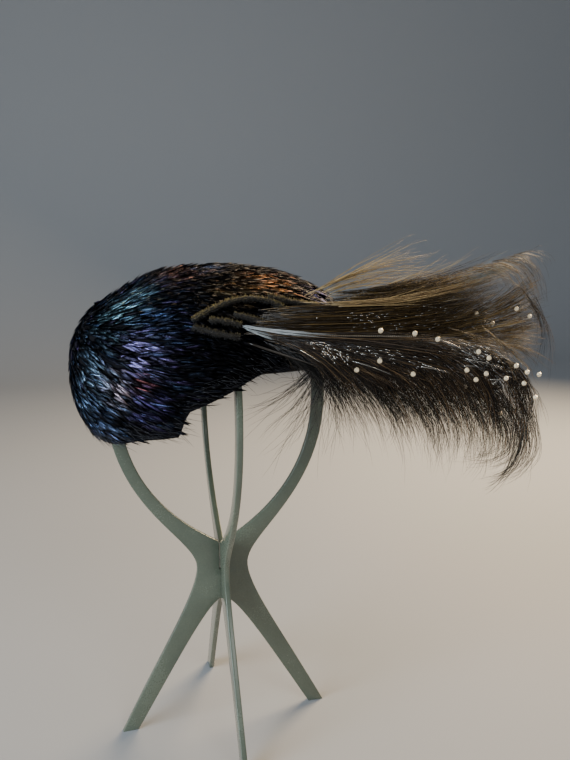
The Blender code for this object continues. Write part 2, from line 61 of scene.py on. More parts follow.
def stand_axis():
    """Where the stand's axis crosses the floor: the middle of each plate's box."""
    wide_low, wide_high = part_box("stand_plate_wide")
    cross_low, cross_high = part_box("stand_plate_cross")
    along = (wide_low.x + wide_high.x) / 2
    across = (cross_low.y + cross_high.y) / 2
    return np.array((along, across, 0.0))


STAND_AXIS = stand_axis()
MM = 0.001

# Stand plates.
STAND_HEIGHT = 0.3470
STAND_PLATE = 0.0040
PLATE_CLEARANCE = 0.0003
FOOT_REACH = 0.0800
FOOT_LENGTH = 0.0120
CROTCH_HEIGHT = 0.0995
WAIST_HEIGHT = 0.1260
WAIST_REACH = 0.0195
FORK_HEIGHT = 0.1436
CRADLE_HEIGHT = 0.2560
CRADLE_REACH = 0.0812
ARM_WIDTH = 0.0096
ARCH_WIDTH = 0.0095
SLOT_HALF = STAND_PLATE / 2 + PLATE_CLEARANCE
PLATE_SHARP_ANGLE = 0.6
# Steps of each curve of an edge, and rows of a plate beside its arms, waist and legs.
EDGE_STEPS = 24
ARM_ROWS, WAIST_ROWS, LEG_ROWS = 70, 16, 30

# Cap: middle, half sizes and fullness of its feathered outside.
CAP_MIDDLE = np.array((-0.0015, 0.0, 0.2806))
CAP_HALF_LENGTH = 0.1024
CAP_HALF_DEPTH = 0.0880
CAP_RISE = 0.0708
CAP_FALL = 0.0735
CAP_FULLNESS = 2.34
BROW_SLOPE, BROW_BAND, BROW_WIDTH = 0.036, 0.70, 0.25
CAP_COLUMNS, CAP_ROWS = 180, 40
COVER_DEPTH = 0.0023
FELT_CLEARANCE = 0.0003
FELT_WALL = 0.0015
BACKING_INSET, BACKING_WALL, BACKING_DROP = 0.0010, 0.0012, 0.0015

# Feathers: depth of the root, height of the ridge, how far the whorl beside the pole reaches,
# how much they sway, how high they stand on the crown, and how far back the hem counts.
FEATHER_ROOT = -0.0012
FEATHER_RIDGE = 0.00035
WHORL = 0.40
FEATHER_SPREAD = 0.11
CROWN_LIFT = 0.0026
HEM_BACK = 0.006
BLACK_VANE = (0.004, 0.005, 0.008)
# Faint blue and violet on the left bulge: painted sheen where the cool light glints, partly the
# feathers' own iridescence.
FAINT_VIOLET_SHEEN, FAINT_BLUE_SHEEN = (0.10, 0.07, 0.20), (0.06, 0.11, 0.22)
VIOLET_SHARE = 0.4

# Hairs at the hem: how high they are rooted above it, how much they sway, and their colour.
HAIR_BAND = 0.013
HAIR_SPREAD = 0.30
HAIR_TINT = (0.010, 0.010, 0.013)

# Hem seen from the side. Columns: share of the half length, share of the fall.
HEM = np.array((
    (-1.20, -0.62), (-0.75, -0.57), (-0.59, -0.48), (-0.44, -0.45), (-0.35, -0.43),
    (-0.34, -0.31), (-0.30, -0.20), (-0.15, -0.11), (-0.03, -0.03), (0.06, 0.045),
    (0.14, 0.10), (0.62, 0.11), (1.20, 0.115),
))

# Fuzzy stems. Columns: share of the half length and of the rise at start, middle and end, and
# how pale the fuzz is: partly the fuzz's own colour, partly painted light, set paler on the upper
# stems.
Stem = namedtuple("Stem", "start_x start_z middle_x middle_z end_x end_z pale")
STEMS = (
    Stem(-0.26, 0.54, 0.08, 0.70, 0.34, 0.59, 1.0),
    Stem(-0.01, 0.585, 0.09, 0.545, 0.185, 0.505, 0.6),
    Stem(-0.16, 0.54, -0.06, 0.525, 0.02, 0.495, 0.9),
    Stem(-0.26, 0.49, -0.11, 0.43, 0.01, 0.40, 0.35),
    Stem(0.23, 0.72, 0.40, 0.655, 0.57, 0.62, 0.9),
)
STEM_CENTRE_LIFT = 0.0025
STEM_STEPS = 40
STEM_CORE = 0.60
# Near-black core colour: painted shade deep in the fuzz. The fuzz's pale end is added as painted
# light to fibres that point up.
STEM_SHADE = (0.012, 0.008, 0.003)
FUZZ_RADII = (0.00021, 0.00013, 0.0)
FUZZ_DARK, FUZZ_PALE = (0.016, 0.011, 0.005), (0.62, 0.46, 0.16)

# Quills of the plume as cubic curves in millimetres: root, two handles, tip.
QUILLS = {
    "plume_top": (
        (61.1, -58.6, 323.3), (106.9, -42.7, 321.5), (155.5, -44, 343.5), (203.8, -44, 348.6),
    ),
    "plume_upper": (
        (38.2, -73.5, 320.5), (91, -70.5, 322.1), (143.8, -63.4, 324.5), (196.7, -63.4, 324.5),
    ),
    "plume_middle": (
        (6.7, -81.6, 314.6), (64.3, -97.5, 308.2), (126.1, -102.1, 301.2), (182.6, -102.1, 280.6),
    ),
    "plume_lower": (
        (36.5, -81.2, 305.1), (85.8, -87, 287), (142.1, -81, 277.7), (182.6, -81, 243.8),
    ),
    "plume_fringe": (
        (4.7, -85, 305.9), (47.5, -100.1, 290.2), (97.5, -93.3, 274.8), (135.4, -93.3, 245.2),
    ),
}

# Shafts: radius in metres, pale and dark colour, and the share of the quill where it turns dark.
SHAFTS = {
    "plume_top": (0.0008, (0.10, 0.06, 0.03), (0.05, 0.03, 0.015), 0.3),
    "plume_upper": (0.0008, (0.10, 0.06, 0.03), (0.05, 0.03, 0.015), 0.3),
    "plume_middle": (0.0011, (0.56, 0.63, 0.64), (0.05, 0.03, 0.015), 0.12),
    "plume_lower": (0.0008, (0.02, 0.015, 0.01), (0.01, 0.008, 0.006), 0.3),
    "plume_fringe": (0.0008, (0.02, 0.015, 0.01), (0.01, 0.008, 0.006), 0.3),
}
SHAFT_TIP = 0.00035

# Strands of the plume in sheaves. Columns: solid, how many, y at the root and the tip and its
# spread in mm, where strands begin and end along their guides, wander and radius in mm, share of
# pale strands, colour family, strands in a clump, and the guides across the sheaf, each the four
# (x, z) corners of a cubic curve in mm.
Sheaf = namedtuple(
    "Sheaf",
    "solid strands y_root y_tip depth begin_low begin_high end_low end_high wander radius pale "
    "family clump guides",
)
SHEAVES = (
    Sheaf("plume_upper", 1500, -85, -64, 6.5, 0.0, 0.32, 0.55, 1.0, 4.2, 0.18, 0.11, "bronze", 7, (
        (11.4, 325.9, 60.3, 330.5, 133.7, 321.6, 211.6, 352.7),
        (7.6, 319.9, 60.3, 320.3, 134, 313.5, 217.4, 335.8),
        (3.7, 314.5, 60.3, 310.6, 130.5, 306.1, 223, 322.9),
        (1.8, 311.5, 60.4, 302.8, 134.4, 299.1, 224.4, 312.9),
    )),
    Sheaf("plume_upper", 34, -90, -70, 3.0, 0.0, 0.45, 0.5, 1.0, 3.4, 0.15, 0.55, "gold", 2, (
        (34.3, 330.6, 82.1, 327.7, 130.8, 329.4, 205.4, 352.8),
        (38.1, 328, 84.2, 324.5, 133.8, 325.3, 208.1, 346.6),
    )),
    Sheaf("plume_upper", 460, -73, -63, 6.0, 0.0, 0.4, 0.55, 1.0, 7.0, 0.13, 0.42, "bronze", 2, (
        (129.6, 304.3, 139, 314.6, 150.9, 326.3, 166, 336.8),
        (131.8, 304.2, 157, 316.7, 183, 328.3, 208.3, 337.4),
        (133.3, 303.5, 164.8, 311, 197.7, 316.7, 224.4, 324.3),
        (134.8, 302.8, 172.8, 303.8, 202.4, 302.4, 224.7, 304.1),
        (140.8, 301.2, 169.3, 296.2, 199, 289.6, 221.1, 281),
    )),
    Sheaf("plume_upper", 300, -66, -60, 6.0, 0.1, 0.55, 0.75, 1.0, 5.0, 0.14, 0.45, "bronze", 2, (
        (165.1, 316.2, 189.1, 328, 208.9, 337.3, 225.2, 344),
        (170.1, 307.7, 192.8, 315.2, 213, 321.6, 229.5, 326.8),
        (173.5, 300.6, 198.2, 303.7, 217, 307.2, 232.2, 309.4),
        (180, 294.7, 201.8, 295, 219.7, 288.2, 229.6, 269.8),
    )),
    Sheaf("plume_upper", 16, -74, -66, 1.5, 0.0, 0.1, 0.8, 1.0, 1.2, 0.24, 0.95, "gold", 2, (
        (132.8, 304.3, 156.5, 305.2, 188.6, 311.5, 220.4, 316.7),
        (134.3, 302.9, 160.4, 302.3, 192.7, 307.9, 222.2, 313.8),
    )),
    Sheaf("plume_upper", 70, -70, -62, 2.5, 0.0, 0.25, 0.6, 1.0, 3.0, 0.19, 0.9, "ice", 3, (
        (130.2, 308.1, 150.8, 312.6, 173.5, 318.7, 195.8, 327.7),
        (134.7, 305.2, 154.8, 307, 179.2, 311.5, 208.1, 321.8),
    )),
    Sheaf("plume_upper", 40, -66, -60, 6.0, 0.0, 0.3, 0.6, 1.0, 5.0, 0.13, 0.15, "brown", 1, (
        (197.8, 350.1, 220.6, 335.8, 235.1, 307.3, 227.2, 266.9),
        (207, 326.3, 230, 314.1, 241.1, 292.5, 229.4, 257.8),
        (188.5, 347.5, 226.9, 325.7, 232.5, 296.5, 211.9, 273.6),
    )),
    Sheaf("plume_top", 560, -70, -46, 9.0, 0.0, 0.4, 0.3, 0.95, 6.5, 0.15, 0.15, "bronze", 4, (
        (54.8, 334.7, 115.5, 335, 172.1, 347.5, 234.4, 363.1),
        (54.8, 330.8, 115.7, 327.5, 168.6, 336.3, 234.3, 349.4),
        (54.8, 326.9, 115.8, 322.1, 165.1, 325.9, 227.6, 334.9),
    )),
    Sheaf("plume_top", 130, -68, -46, 6.0, 0.0, 0.3, 0.55, 1.0, 9.0, 0.18, 0.95, "gold", 1, (
        (43.2, 332.2, 66, 339.9, 104.3, 353.8, 140.1, 364.4),
        (47.3, 330.9, 80, 350.2, 118.9, 355, 152.9, 349),
        (55.4, 329.4, 94.3, 340, 138.1, 338.3, 176.1, 356.4),
        (63.6, 327.9, 116.2, 330.8, 157, 343.5, 200, 359.8),
        (74, 326.3, 131.2, 325, 180.7, 337.5, 236.9, 362.4),
    )),
    Sheaf("plume_top", 110, -52, -42, 7.0, 0.0, 0.35, 0.5, 1.0, 7.0, 0.14, 0.45, "bronze", 2, (
        (150, 343.6, 190.7, 352.8, 211.2, 339.5, 217.7, 317.2),
        (170, 348.9, 208.3, 356.9, 226.1, 339.3, 226.5, 311),
        (185.6, 352.2, 221.1, 361.1, 237.6, 344.9, 240.1, 310.6),
        (196.7, 354.2, 226.6, 365.3, 241.7, 360.9, 250.1, 344.7),
    )),
    Sheaf("plume_top", 60, -52, -44, 2.5, 0.0, 0.25, 0.7, 1.0, 2.5, 0.18, 0.9, "ice", 2, (
        (139, 328.5, 163.1, 339.8, 192, 349.2, 215.3, 356.8),
        (142.9, 324.2, 168.9, 333.3, 196.3, 342.7, 219.7, 351),
    )),
    Sheaf("plume_middle", 1000, -85, -101, 5.5, 0.0, 0.35, 0.5, 1.0, 2.8, 0.19, 0.15, "brown", 6, (
        (10, 313.7, 56.2, 309.5, 122.1, 308.3, 193.8, 294.3),
        (10, 311.2, 56.3, 305, 108.4, 299.8, 185.6, 278.5),
        (12.5, 308.6, 46.4, 301, 82.5, 290.6, 131.3, 265.5),
        (17.5, 306.6, 36.6, 300.8, 55.8, 293.1, 76.5, 276.4),
    )),
    Sheaf("plume_middle", 1350, -90, -103, 6.5, 0.0, 0.35, 0.55, 1.0, 6.5, 0.18, 0.1, "brown", 6, (
        (12.6, 310.4, 35.5, 303.8, 56.1, 291, 65.2, 268.5),
        (44.5, 308, 82.9, 300.6, 109, 272.9, 117.6, 240.3),
        (71, 306.3, 111.8, 298.2, 136, 268.8, 136.4, 232.1),
        (98.3, 306, 140.2, 295.7, 169.9, 261.4, 154.3, 221.2),
        (126.4, 304.9, 171.1, 291.7, 199.2, 252.7, 167.9, 215.9),
        (152.5, 302.6, 198.5, 287.8, 220.1, 242.2, 181.7, 211.9),
    )),
    Sheaf("plume_middle", 110, -96, -103, 4.0, 0.0, 0.7, 0.5, 1.0, 8.0, 0.12, 0.5, "bronze", 1, (
        (108.1, 306.3, 138.6, 302.8, 170.1, 295.2, 191.3, 287.9),
        (150, 317.7, 163.7, 306.4, 181.2, 296.1, 193.2, 281.2),
        (164.9, 309.4, 182.7, 295.7, 191.5, 285.6, 195.7, 264.8),
    )),
    Sheaf("plume_lower", 900, -84, -87, 8.0, 0.0, 0.35, 0.5, 1.0, 9.0, 0.17, 0.1, "black", 5, (
        (20.3, 305.1, 46.1, 292.1, 65.9, 270.5, 72.7, 235.6),
        (46.4, 300.2, 79.9, 284, 105.1, 258.8, 109.8, 217.6),
        (80.1, 295.6, 120.9, 276.6, 147.7, 247.8, 139.6, 205.9),
        (115.3, 291.4, 159.5, 269.1, 189.7, 232.2, 158, 200.6),
        (147.4, 287.3, 195, 264.3, 223.6, 225.3, 176.7, 197.5),
    )),
    Sheaf("plume_lower", 30, -86, -86, 4.0, 0.0, 0.3, 0.7, 1.0, 4.0, 0.17, 0.05, "black", 2, (
        (202.9, 251.3, 205.7, 213.6, 187.5, 197.6, 159.9, 204.5),
        (193.2, 241.2, 195.6, 208.6, 183.7, 195, 166.4, 196.6),
    )),
    Sheaf("plume_fringe", 430, -88, -94, 6.0, 0.0, 0.35, 0.45, 1.0, 9.0, 0.16, 0.06, "black", 3, (
        (13, 307.7, 34.1, 295.8, 47.8, 279, 52.5, 261.1),
        (25.7, 305.3, 51.1, 290, 67.9, 270.1, 72.8, 245.4),
        (42.5, 300.9, 75.3, 283.7, 95.4, 263.3, 99.2, 235.4),
        (65.1, 296.8, 103, 275.7, 126.9, 251.9, 126.6, 227.8),
    )),
    Sheaf("plume_lower", 70, -86, -88, 5.0, 0.0, 0.3, 0.7, 1.0, 4.0, 0.17, 0.08, "black", 3, (
        (157.5, 266.6, 182.6, 242.8, 186.7, 212.6, 135.4, 231.1),
        (172.8, 262.9, 203.3, 235.7, 198.2, 204.4, 140, 223.8),
        (184.5, 259.5, 214.9, 227.6, 206.5, 199.2, 157.3, 205.3),
        (195.9, 264.4, 221.7, 235.8, 219.2, 202.5, 175.6, 209.4),
    )),
    Sheaf("plume_lower", 70, -86, -88, 5.0, 0.0, 0.3, 0.7, 1.0, 4.0, 0.16, 0.08, "black", 3, (
        (78.2, 276.3, 96.2, 264.8, 104.8, 242.8, 86.3, 234.9),
        (103.4, 273.7, 127.8, 260.2, 140, 234.8, 123.8, 223.7),
        (126.4, 269.7, 148.7, 253.4, 156.8, 227.9, 132.8, 217.3),
    )),
    Sheaf("plume_fringe", 120, -88, -84, 9.0, 0.0, 0.3, 0.5, 1.0, 13.0, 0.15, 0.02, "black", 1, (
        (49.1, 293.6, 35, 278.8, 19.6, 267.9, -0.9, 259.9),
        (51.7, 291, 40.2, 269.5, 28.6, 250.4, 12.8, 226.3),
        (55.7, 289.5, 49.5, 265, 41.8, 242.9, 28.7, 222.3),
        (58.4, 289.4, 63, 266.8, 60.8, 242.8, 51.7, 220.3),
        (62.4, 289.2, 72.5, 268.9, 80.2, 245.5, 73.9, 223.9),
    )),
    Sheaf("plume_middle", 34, -85, -97, 1.0, 0.0, 0.2, 0.4, 1.0, 0.8, 0.16, 0.6, "silver", 3, (
        (0.6, 317.7, 12.9, 314.6, 35.9, 312.3, 63.8, 310.5),
        (0.6, 316.4, 12.8, 312.7, 35.9, 310.5, 63.8, 309.3),
    )),
    Sheaf("plume_middle", 20, -85, -93, 1.0, 0.0, 0.2, 0.5, 1.0, 0.8, 0.15, 0.6, "silver", 3, (
        (1.2, 316.4, 9.4, 312.7, 16.3, 309.7, 26.9, 307.1),
        (1.8, 315.2, 9.3, 310.9, 16.2, 307.8, 25.7, 305.3),
    )),
)
STRAND_STEPS = 9
# What passes the reach is drawn in, to at most the slack beyond it.
PLUME_REACH = 0.236
PLUME_SLACK = 0.015

# Short foil fibres scattered on the near side of the plume, with the same columns.
GLITTER = (
    Sheaf("", 64, -100, -105, 1.5, 0.0, 0.3, 0.6, 1.0, 2.0, 0.13, 0.8, "foil", 1, (
        (32.6, 309.5, 41, 304.5, 46.8, 298.3, 52.7, 290.9),
        (46.6, 309, 57, 302.6, 64.9, 296.3, 73.5, 287.4),
    )),
    Sheaf("", 50, -101, -106, 1.5, 0.0, 0.4, 0.6, 1.0, 2.5, 0.13, 0.8, "foil", 1, (
        (52.7, 306.4, 78.2, 303.1, 105.8, 298.4, 138.5, 289.5),
        (59.2, 301.2, 79.6, 296.8, 106, 289.5, 135.4, 279.3),
    )),
    Sheaf("", 150, -101, -107, 2.5, 0.0, 0.5, 0.5, 1.0, 3.5, 0.13, 0.8, "foil", 1, (
        (126.4, 308.7, 146.7, 303, 167.4, 297.2, 190.9, 289.9),
        (125.4, 297.2, 145.8, 290, 168.1, 282.7, 189.5, 273.9),
    )),
    Sheaf("", 80, -93, -72, 1.5, 0.0, 0.4, 0.6, 1.0, 3.0, 0.13, 0.8, "foil", 1, (
        (33.4, 324.7, 77.7, 322.9, 129.9, 320.9, 189.5, 332.6),
        (35.9, 312.9, 77.9, 310.1, 130.2, 308.3, 195.9, 314.4),
    )),
    Sheaf("", 70, -100, -106, 2.0, 0.0, 0.4, 0.6, 1.0, 3.0, 0.12, 0.8, "foil", 1, (
        (155, 282.6, 170.7, 266.7, 177.7, 249.8, 169.8, 233.1),
        (182.2, 283.9, 194.8, 265.3, 200.5, 248.2, 188.7, 231.6),
    )),
)
# Long foil threads and stray wisps: start and end in mm, radius in mm, how far they bow.
THREADS = np.array((
    (143.6, -104, 292.4, 172.2, -104, 284.8, 0.22, 0.3),
    (112.6, -104, 288.7, 134.7, -104, 282.7, 0.24, 0.4),
    (113.0, -105, 290.4, 132.7, -105, 284.3, 0.22, -0.4),
    (141.8, -105, 287.8, 154.0, -105, 286.9, 0.20, 0.2),
    (161.5, -104, 277.8, 176.3, -104, 276.4, 0.24, 0.3),
    (163.8, -104, 274.6, 169.5, -104, 278.3, 0.20, 0.2),
    (126.1, -103, 305.0, 147.6, -103, 296.3, 0.20, 0.5),
    (33.5, -102, 302.2, 47.6, -102, 293.0, 0.24, 0.3),
    (69.1, -102, 293.3, 98.1, -102, 281.7, 0.20, 0.8),
    (100.1, -101, 272.4, 115.7, -101, 261.0, 0.18, 0.4),
    (173.3, -67, 305.5, 200.6, -67, 310.9, 0.20, 0.8),
))
BEAD_LINE = np.array(((40.8, -99.5, 310.6), (107.8, -105.0, 308.2)))
BEADS = 50

# Colour families: dark end and pale end of a strand's colour.
FAMILIES = {
    "gold": ((0.130, 0.072, 0.024), (0.86, 0.61, 0.27)),
    "bronze": ((0.026, 0.015, 0.005), (0.44, 0.27, 0.09)),
    "brown": ((0.013, 0.008, 0.004), (0.27, 0.16, 0.07)),
    "black": ((0.004, 0.004, 0.004), (0.12, 0.09, 0.06)),
    "ice": ((0.130, 0.160, 0.165), (0.52, 0.62, 0.64)),
    "silver": ((0.360, 0.390, 0.390), (0.80, 0.84, 0.84)),
    "foil": ((0.550, 0.520, 0.460), (0.98, 0.95, 0.88)),
}

# Painted sheen of the feather cover: patches of painted highlights, partly the feathers' own
# iridescent colour. Columns: x, y, z and radius in mm, then red, green, blue.
PAINTED_SHEEN_PATCHES = np.array((
    (-75.6, 40.2, 328.3, 14, 0.42, 0.80, 0.96),
    (-65.7, 36.3, 336.2, 9, 0.34, 0.56, 0.82),
    (-93.9, 46.2, 287.9, 15, 0.44, 0.66, 0.92),
    (-96.0, 30.0, 268.0, 12, 0.30, 0.50, 0.80),
    (-88.9, 40.1, 250.2, 12, 0.20, 0.30, 0.55),
    (-58.8, 65.6, 320.3, 10, 0.13, 0.22, 0.46),
    (-67.2, 70.8, 301.4, 11, 0.48, 0.42, 0.92),
    (-66.9, 73.5, 283.3, 5, 0.36, 0.10, 0.07),
    (-81.6, 62.4, 281.5, 9, 0.78, 0.62, 0.72),
    (-64.5, 73.9, 268.8, 10, 0.15, 0.12, 0.36),
    (-38.1, 22.6, 348.3, 13, 0.42, 0.23, 0.18),
    (-17.7, 22.5, 350.7, 7, 0.50, 0.60, 0.90),
    (-5.0, 58.0, 340.0, 18, 0.13, 0.09, 0.04),
    (12.2, 44.5, 345.5, 14, 0.34, 0.17, 0.06),
    (26.0, 50.0, 341.6, 10, 0.40, 0.21, 0.08),
    (53.6, 44.4, 336.8, 9, 0.08, 0.09, 0.30),
    (38.0, 20.0, 347.0, 16, 0.12, 0.065, 0.03),
))

CAMERA_PLACE = (-0.0896, -0.5274, 0.3604)
CAMERA_AIM = (0.2537, 0.9522, -0.1701)
CAMERA_ROLL = -0.008
CAMERA_LENS = 34.906
CAMERA_SENSOR = 36.0
CAMERA_NEAR = 0.01

# Strand points near a stone: which count in full, where they stop counting, how far along the
# line of sight they are caught, and how far behind the stone's middle they end up.
STONE_RADIUS, STONE_FADE = 0.0025, 0.0045
STONE_CATCH, STONE_BED = 0.016, 0.0011

FLOOR_SIDE = 9.0
FLOOR_DEPTH = 1.6
WALL_BEND = 0.9
WALL_TOP = 4.0
FLOOR_GAP = 0.0002
LIGHT_TARGET = (0.03, 0.0, 0.26)
FILL_POWER = 13.0
SKY_COLOUR, SKY_STRENGTH = (0.60, 0.66, 0.74, 1), 0.28

# Seeds of the random draws; each stem and plume adds its number.
SEEDS = {
    "near_feathers": 11,
    "far_feathers": 12,
    "hem_hairs": 13,
    "stems": 100,
    "plumes": 200,
    "glitter": 300,
}


def unit(vectors):
    """Vectors scaled to length one along their last axis."""
    return vectors / np.maximum(np.linalg.norm(vectors, axis=-1, keepdims=True), 1e-12)


def smooth_step(share):
    """0 below 0, 1 above 1, and the cubic 3t^2 - 2t^3 between."""
    share = np.clip(share, 0.0, 1.0)
    return share * share * (3 - 2 * share)


def cubic(corners, shares):
    """Points of a cubic Bezier curve at an array of shares."""
    shares = np.asarray(shares)[..., None]
    rest = 1 - shares
    return (
        rest**3 * corners[0]
        + 3 * shares * rest**2 * corners[1]
        + 3 * shares**2 * rest * corners[2]
        + shares**3 * corners[3]
    )


def add_object(name, data):
    """A new object in the scene's own collection."""
    item = bpy.data.objects.new(name, data)
    bpy.context.scene.collection.objects.link(item)
    return item


def add_mesh(name, points, faces, material, tint=None, uv=None):
    """One object from points in the stand's frame and a list of face arrays.

    tint is a colour for each point, uv a pair for each point.
    """
    points = np.asarray(points, np.float32) + STAND_AXIS.astype(np.float32)
    faces = [np.asarray(block, np.int32) for block in faces]
    loops = np.concatenate([block.ravel() for block in faces])
    sides = np.concatenate([np.full(len(block), block.shape[1]) for block in faces])
    starts = np.concatenate(([0], np.cumsum(sides)[:-1])).astype(np.int32)
    mesh = bpy.data.meshes.new(name)
    mesh.vertices.add(len(points))
    mesh.vertices.foreach_set("co", points.ravel())
    mesh.loops.add(len(loops))
    mesh.loops.foreach_set("vertex_index", loops)
    mesh.polygons.add(len(starts))
    mesh.polygons.foreach_set("loop_start", starts)
    mesh.polygons.foreach_set("use_smooth", np.ones(len(starts), bool))
    mesh.update(calc_edges=True)
    if tint is not None:
        layer = mesh.color_attributes.new("tint", "FLOAT_COLOR", "POINT")
        alpha = np.ones((len(points), 1), np.float32)
        layer.data.foreach_set("color", np.hstack((tint, alpha)).astype(np.float32).ravel())
    if uv is not None:
        layer = mesh.uv_layers.new(name="strand")
        layer.data.foreach_set("uv", np.asarray(uv, np.float32)[loops].ravel())
    mesh.materials.append(material)
    return add_object(name, mesh)


def grid_quads(rows, columns, cyclic=False):
    """Quads of a grid whose point (r, c) is number r * columns + c; cyclic joins the columns."""
    row, column = np.meshgrid(
        np.arange(rows - 1), np.arange(columns if cyclic else columns - 1), indexing="ij"
    )
    row, column = row.ravel() * columns, column.ravel()
    after = (column + 1) % columns
    corners = (row + column, row + after, row + columns + after, row + columns + column)
    return np.stack(corners, axis=1)


def repeated(faces, count, size):
    """The face arrays of one part for count parts, whose points follow on, size to a part."""
    offsets = (np.arange(count) * size)[:, None, None]
    return [(block[None] + offsets).reshape(-1, block.shape[1]) for block in faces]


def capped_rings(rings, first_pole, last_pole):
    """A closed surface from rings of points (rows, columns, 3), with a pole past each end."""
    rows, columns, _ = rings.shape
    points = np.concatenate((rings.reshape(-1, 3), (first_pole, last_pole)))
    column = np.arange(columns)
    after = (column + 1) % columns
    first = np.stack((np.full(columns, rows * columns), after, column), axis=1)
    base = (rows - 1) * columns
    last = np.stack((np.full(columns, rows * columns + 1), base + column, base + after), axis=1)
    return points, [grid_quads(rows, columns, cyclic=True), first, last]


def strands(paths, radii, sides, flat=1.0, lean=(0.0, 1.0, 0.0)):
    """Closed tapering tubes, one for each path (N, K, 3) with radii (N, K), as one mesh.

    Ring k of a tube is path + radius * (cos a * n + flat * sin a * b), where n and b stand
    across the path, n also across lean. The last path point is the tube's apex, and its first
    ring is closed by one face.
    """
    count, steps, _ = paths.shape
    ahead = unit(np.gradient(paths, axis=1))
    across = unit(np.cross(ahead, lean))
    upright = np.cross(ahead, across)
    turn = np.arange(sides) * (2 * np.pi / sides)
    ring = (
        np.cos(turn)[:, None] * across[:, :-1, None, :]
        + flat * np.sin(turn)[:, None] * upright[:, :-1, None, :]
    )
    rings = paths[:, :-1, None, :] + ring * radii[:, :-1, None, None]
    points = np.concatenate((rings.reshape(count, -1, 3), paths[:, -1:]), axis=1)
    size = points.shape[1]
    corner = np.arange(sides)
    base = size - 1 - sides
    apex = np.stack((base + corner, base + (corner + 1) % sides, np.full(sides, size - 1)), axis=1)
    faces = [grid_quads(steps - 1, sides, cyclic=True), apex, corner[::-1][None]]
    return points.reshape(-1, 3), repeated(faces, count, size), size


def joined(blocks):
    """Several (points, faces, tint, uv) blocks as one."""
    starts = np.cumsum([0] + [len(block[0]) for block in blocks])
    faces = [face + start for block, start in zip(blocks, starts) for face in block[1]]
    points, tints, uvs = (np.concatenate([block[part] for block in blocks]) for part in (0, 2, 3))
    return points, faces, tints, uvs


def cap_halves(upward):
    """Half sizes of the cap's form, which rises and falls by different amounts."""
    upright = np.where(upward > 0, CAP_RISE, CAP_FALL)
    return np.stack(np.broadcast_arrays(CAP_HALF_LENGTH, CAP_HALF_DEPTH, upright), axis=-1)


def slope_of_brow(directions):
    """Share kept of the form's reach: less in a broad band above the left bulge.

    It is 1 - slope * how far left * exp(-((elevation - band) / width)^2).
    """
    elevation = np.arcsin(np.clip(directions[..., 2], -1.0, 1.0))
    flat = np.maximum(np.hypot(directions[..., 0], directions[..., 1]), 1e-9)
    leftward = smooth_step((-directions[..., 0] / flat - 0.05) / 0.75)
    return 1 - BROW_SLOPE * leftward * np.exp(-(((elevation - BROW_BAND) / BROW_WIDTH) ** 2))


def cap_surface(directions, inset):
    """Points of the cap's form: middle + direction * kept share / (sum of |d / half|^p)^(1/p)."""
    directions = unit(directions)
    halves = cap_halves(directions[..., 2]) - np.asarray(inset)[..., None]
    total = (np.abs(directions / halves) ** CAP_FULLNESS).sum(axis=-1)
    reach = slope_of_brow(directions) / total ** (1 / CAP_FULLNESS)
    return CAP_MIDDLE + directions * reach[..., None]


def cap_normals(points):
    """Outward normals of the cap's form, from the slope of its formula."""
    offset = points - CAP_MIDDLE
    halves = cap_halves(offset[..., 2])
    share = offset / halves
    return unit(np.sign(share) * np.abs(share) ** (CAP_FULLNESS - 1) / halves)


def directions_at(azimuths, elevations):
    """Unit vectors from azimuth and elevation."""
    flat = np.cos(elevations)
    return np.stack(
        (flat * np.cos(azimuths), flat * np.sin(azimuths), np.sin(elevations)), axis=-1
    )


def hem_height(along):
    """Height of the hem line over a place along X."""
    share = (along - CAP_MIDDLE[0]) / CAP_HALF_LENGTH
    return CAP_MIDDLE[2] + np.interp(share, HEM[:, 0], HEM[:, 1]) * CAP_FALL


def hem_elevations(azimuths, inset, drop):
    """Elevation at which each meridian of the cap's form crosses the hem, found by halving."""
    low = np.full(azimuths.shape, -1.45)
    high = np.full(azimuths.shape, 1.05)
    for _ in range(40):
        middle = (low + high) / 2
        points = cap_surface(directions_at(azimuths, middle), inset)
        under = points[..., 2] < hem_height(points[..., 0]) - drop
        low = np.where(under, middle, low)
        high = np.where(under, high, middle)
    return high


def cap_wall(outer_inset, wall, drop):
    """A closed thin wall of the cap's form, from the hem up to the crown.

    Point (r, c): azimuth by the column, elevation from the hem to the zenith by the row, at the
    outer inset on the way up and at outer inset + wall on the way down, with a round rim.
    """
    azimuths = np.linspace(0, 2 * np.pi, CAP_COLUMNS, endpoint=False)
    share = np.linspace(0.0, 1.0, CAP_ROWS, endpoint=False)[:, None]
    insets = (outer_inset, outer_inset + wall)
    skins = []
    for inset in insets:
        start = hem_elevations(azimuths, inset, drop)
        elevations = start + (np.pi / 2 - start) * share
        skins.append(cap_surface(directions_at(azimuths, elevations), inset))
    outer, inner = skins
    bend = np.linspace(-1.0, 1.0, 5)[1:-1, None, None] * (np.pi / 2)
    middle = (outer[0] + inner[0]) / 2
    half = (outer[0] - inner[0]) / 2
    down = np.array((0.0, 0.0, -wall / 2))
    rim = middle + np.sin(bend) * half + np.cos(bend) * down
    outer_crown, inner_crown = (cap_surface(np.array((0.0, 0.0, 1.0)), inset) for inset in insets)
    return capped_rings(np.concatenate((inner[::-1], rim, outer)), inner_crown, outer_crown)


def new_group(name, inputs, outputs):
    """A shader node group with its input values, its outputs' types, and its two end nodes."""
    group = bpy.data.node_groups.new(name, "ShaderNodeTree")
    for label, default in inputs.items():
        kind = "NodeSocketFloat" if isinstance(default, float) else "NodeSocketColor"
        socket = group.interface.new_socket(label, in_out="INPUT", socket_type=kind)
        socket.default_value = default
    for label, kind in outputs.items():
        group.interface.new_socket(label, in_out="OUTPUT", socket_type="NodeSocket" + kind)
    return group, group.nodes.new("NodeGroupInput"), group.nodes.new("NodeGroupOutput")


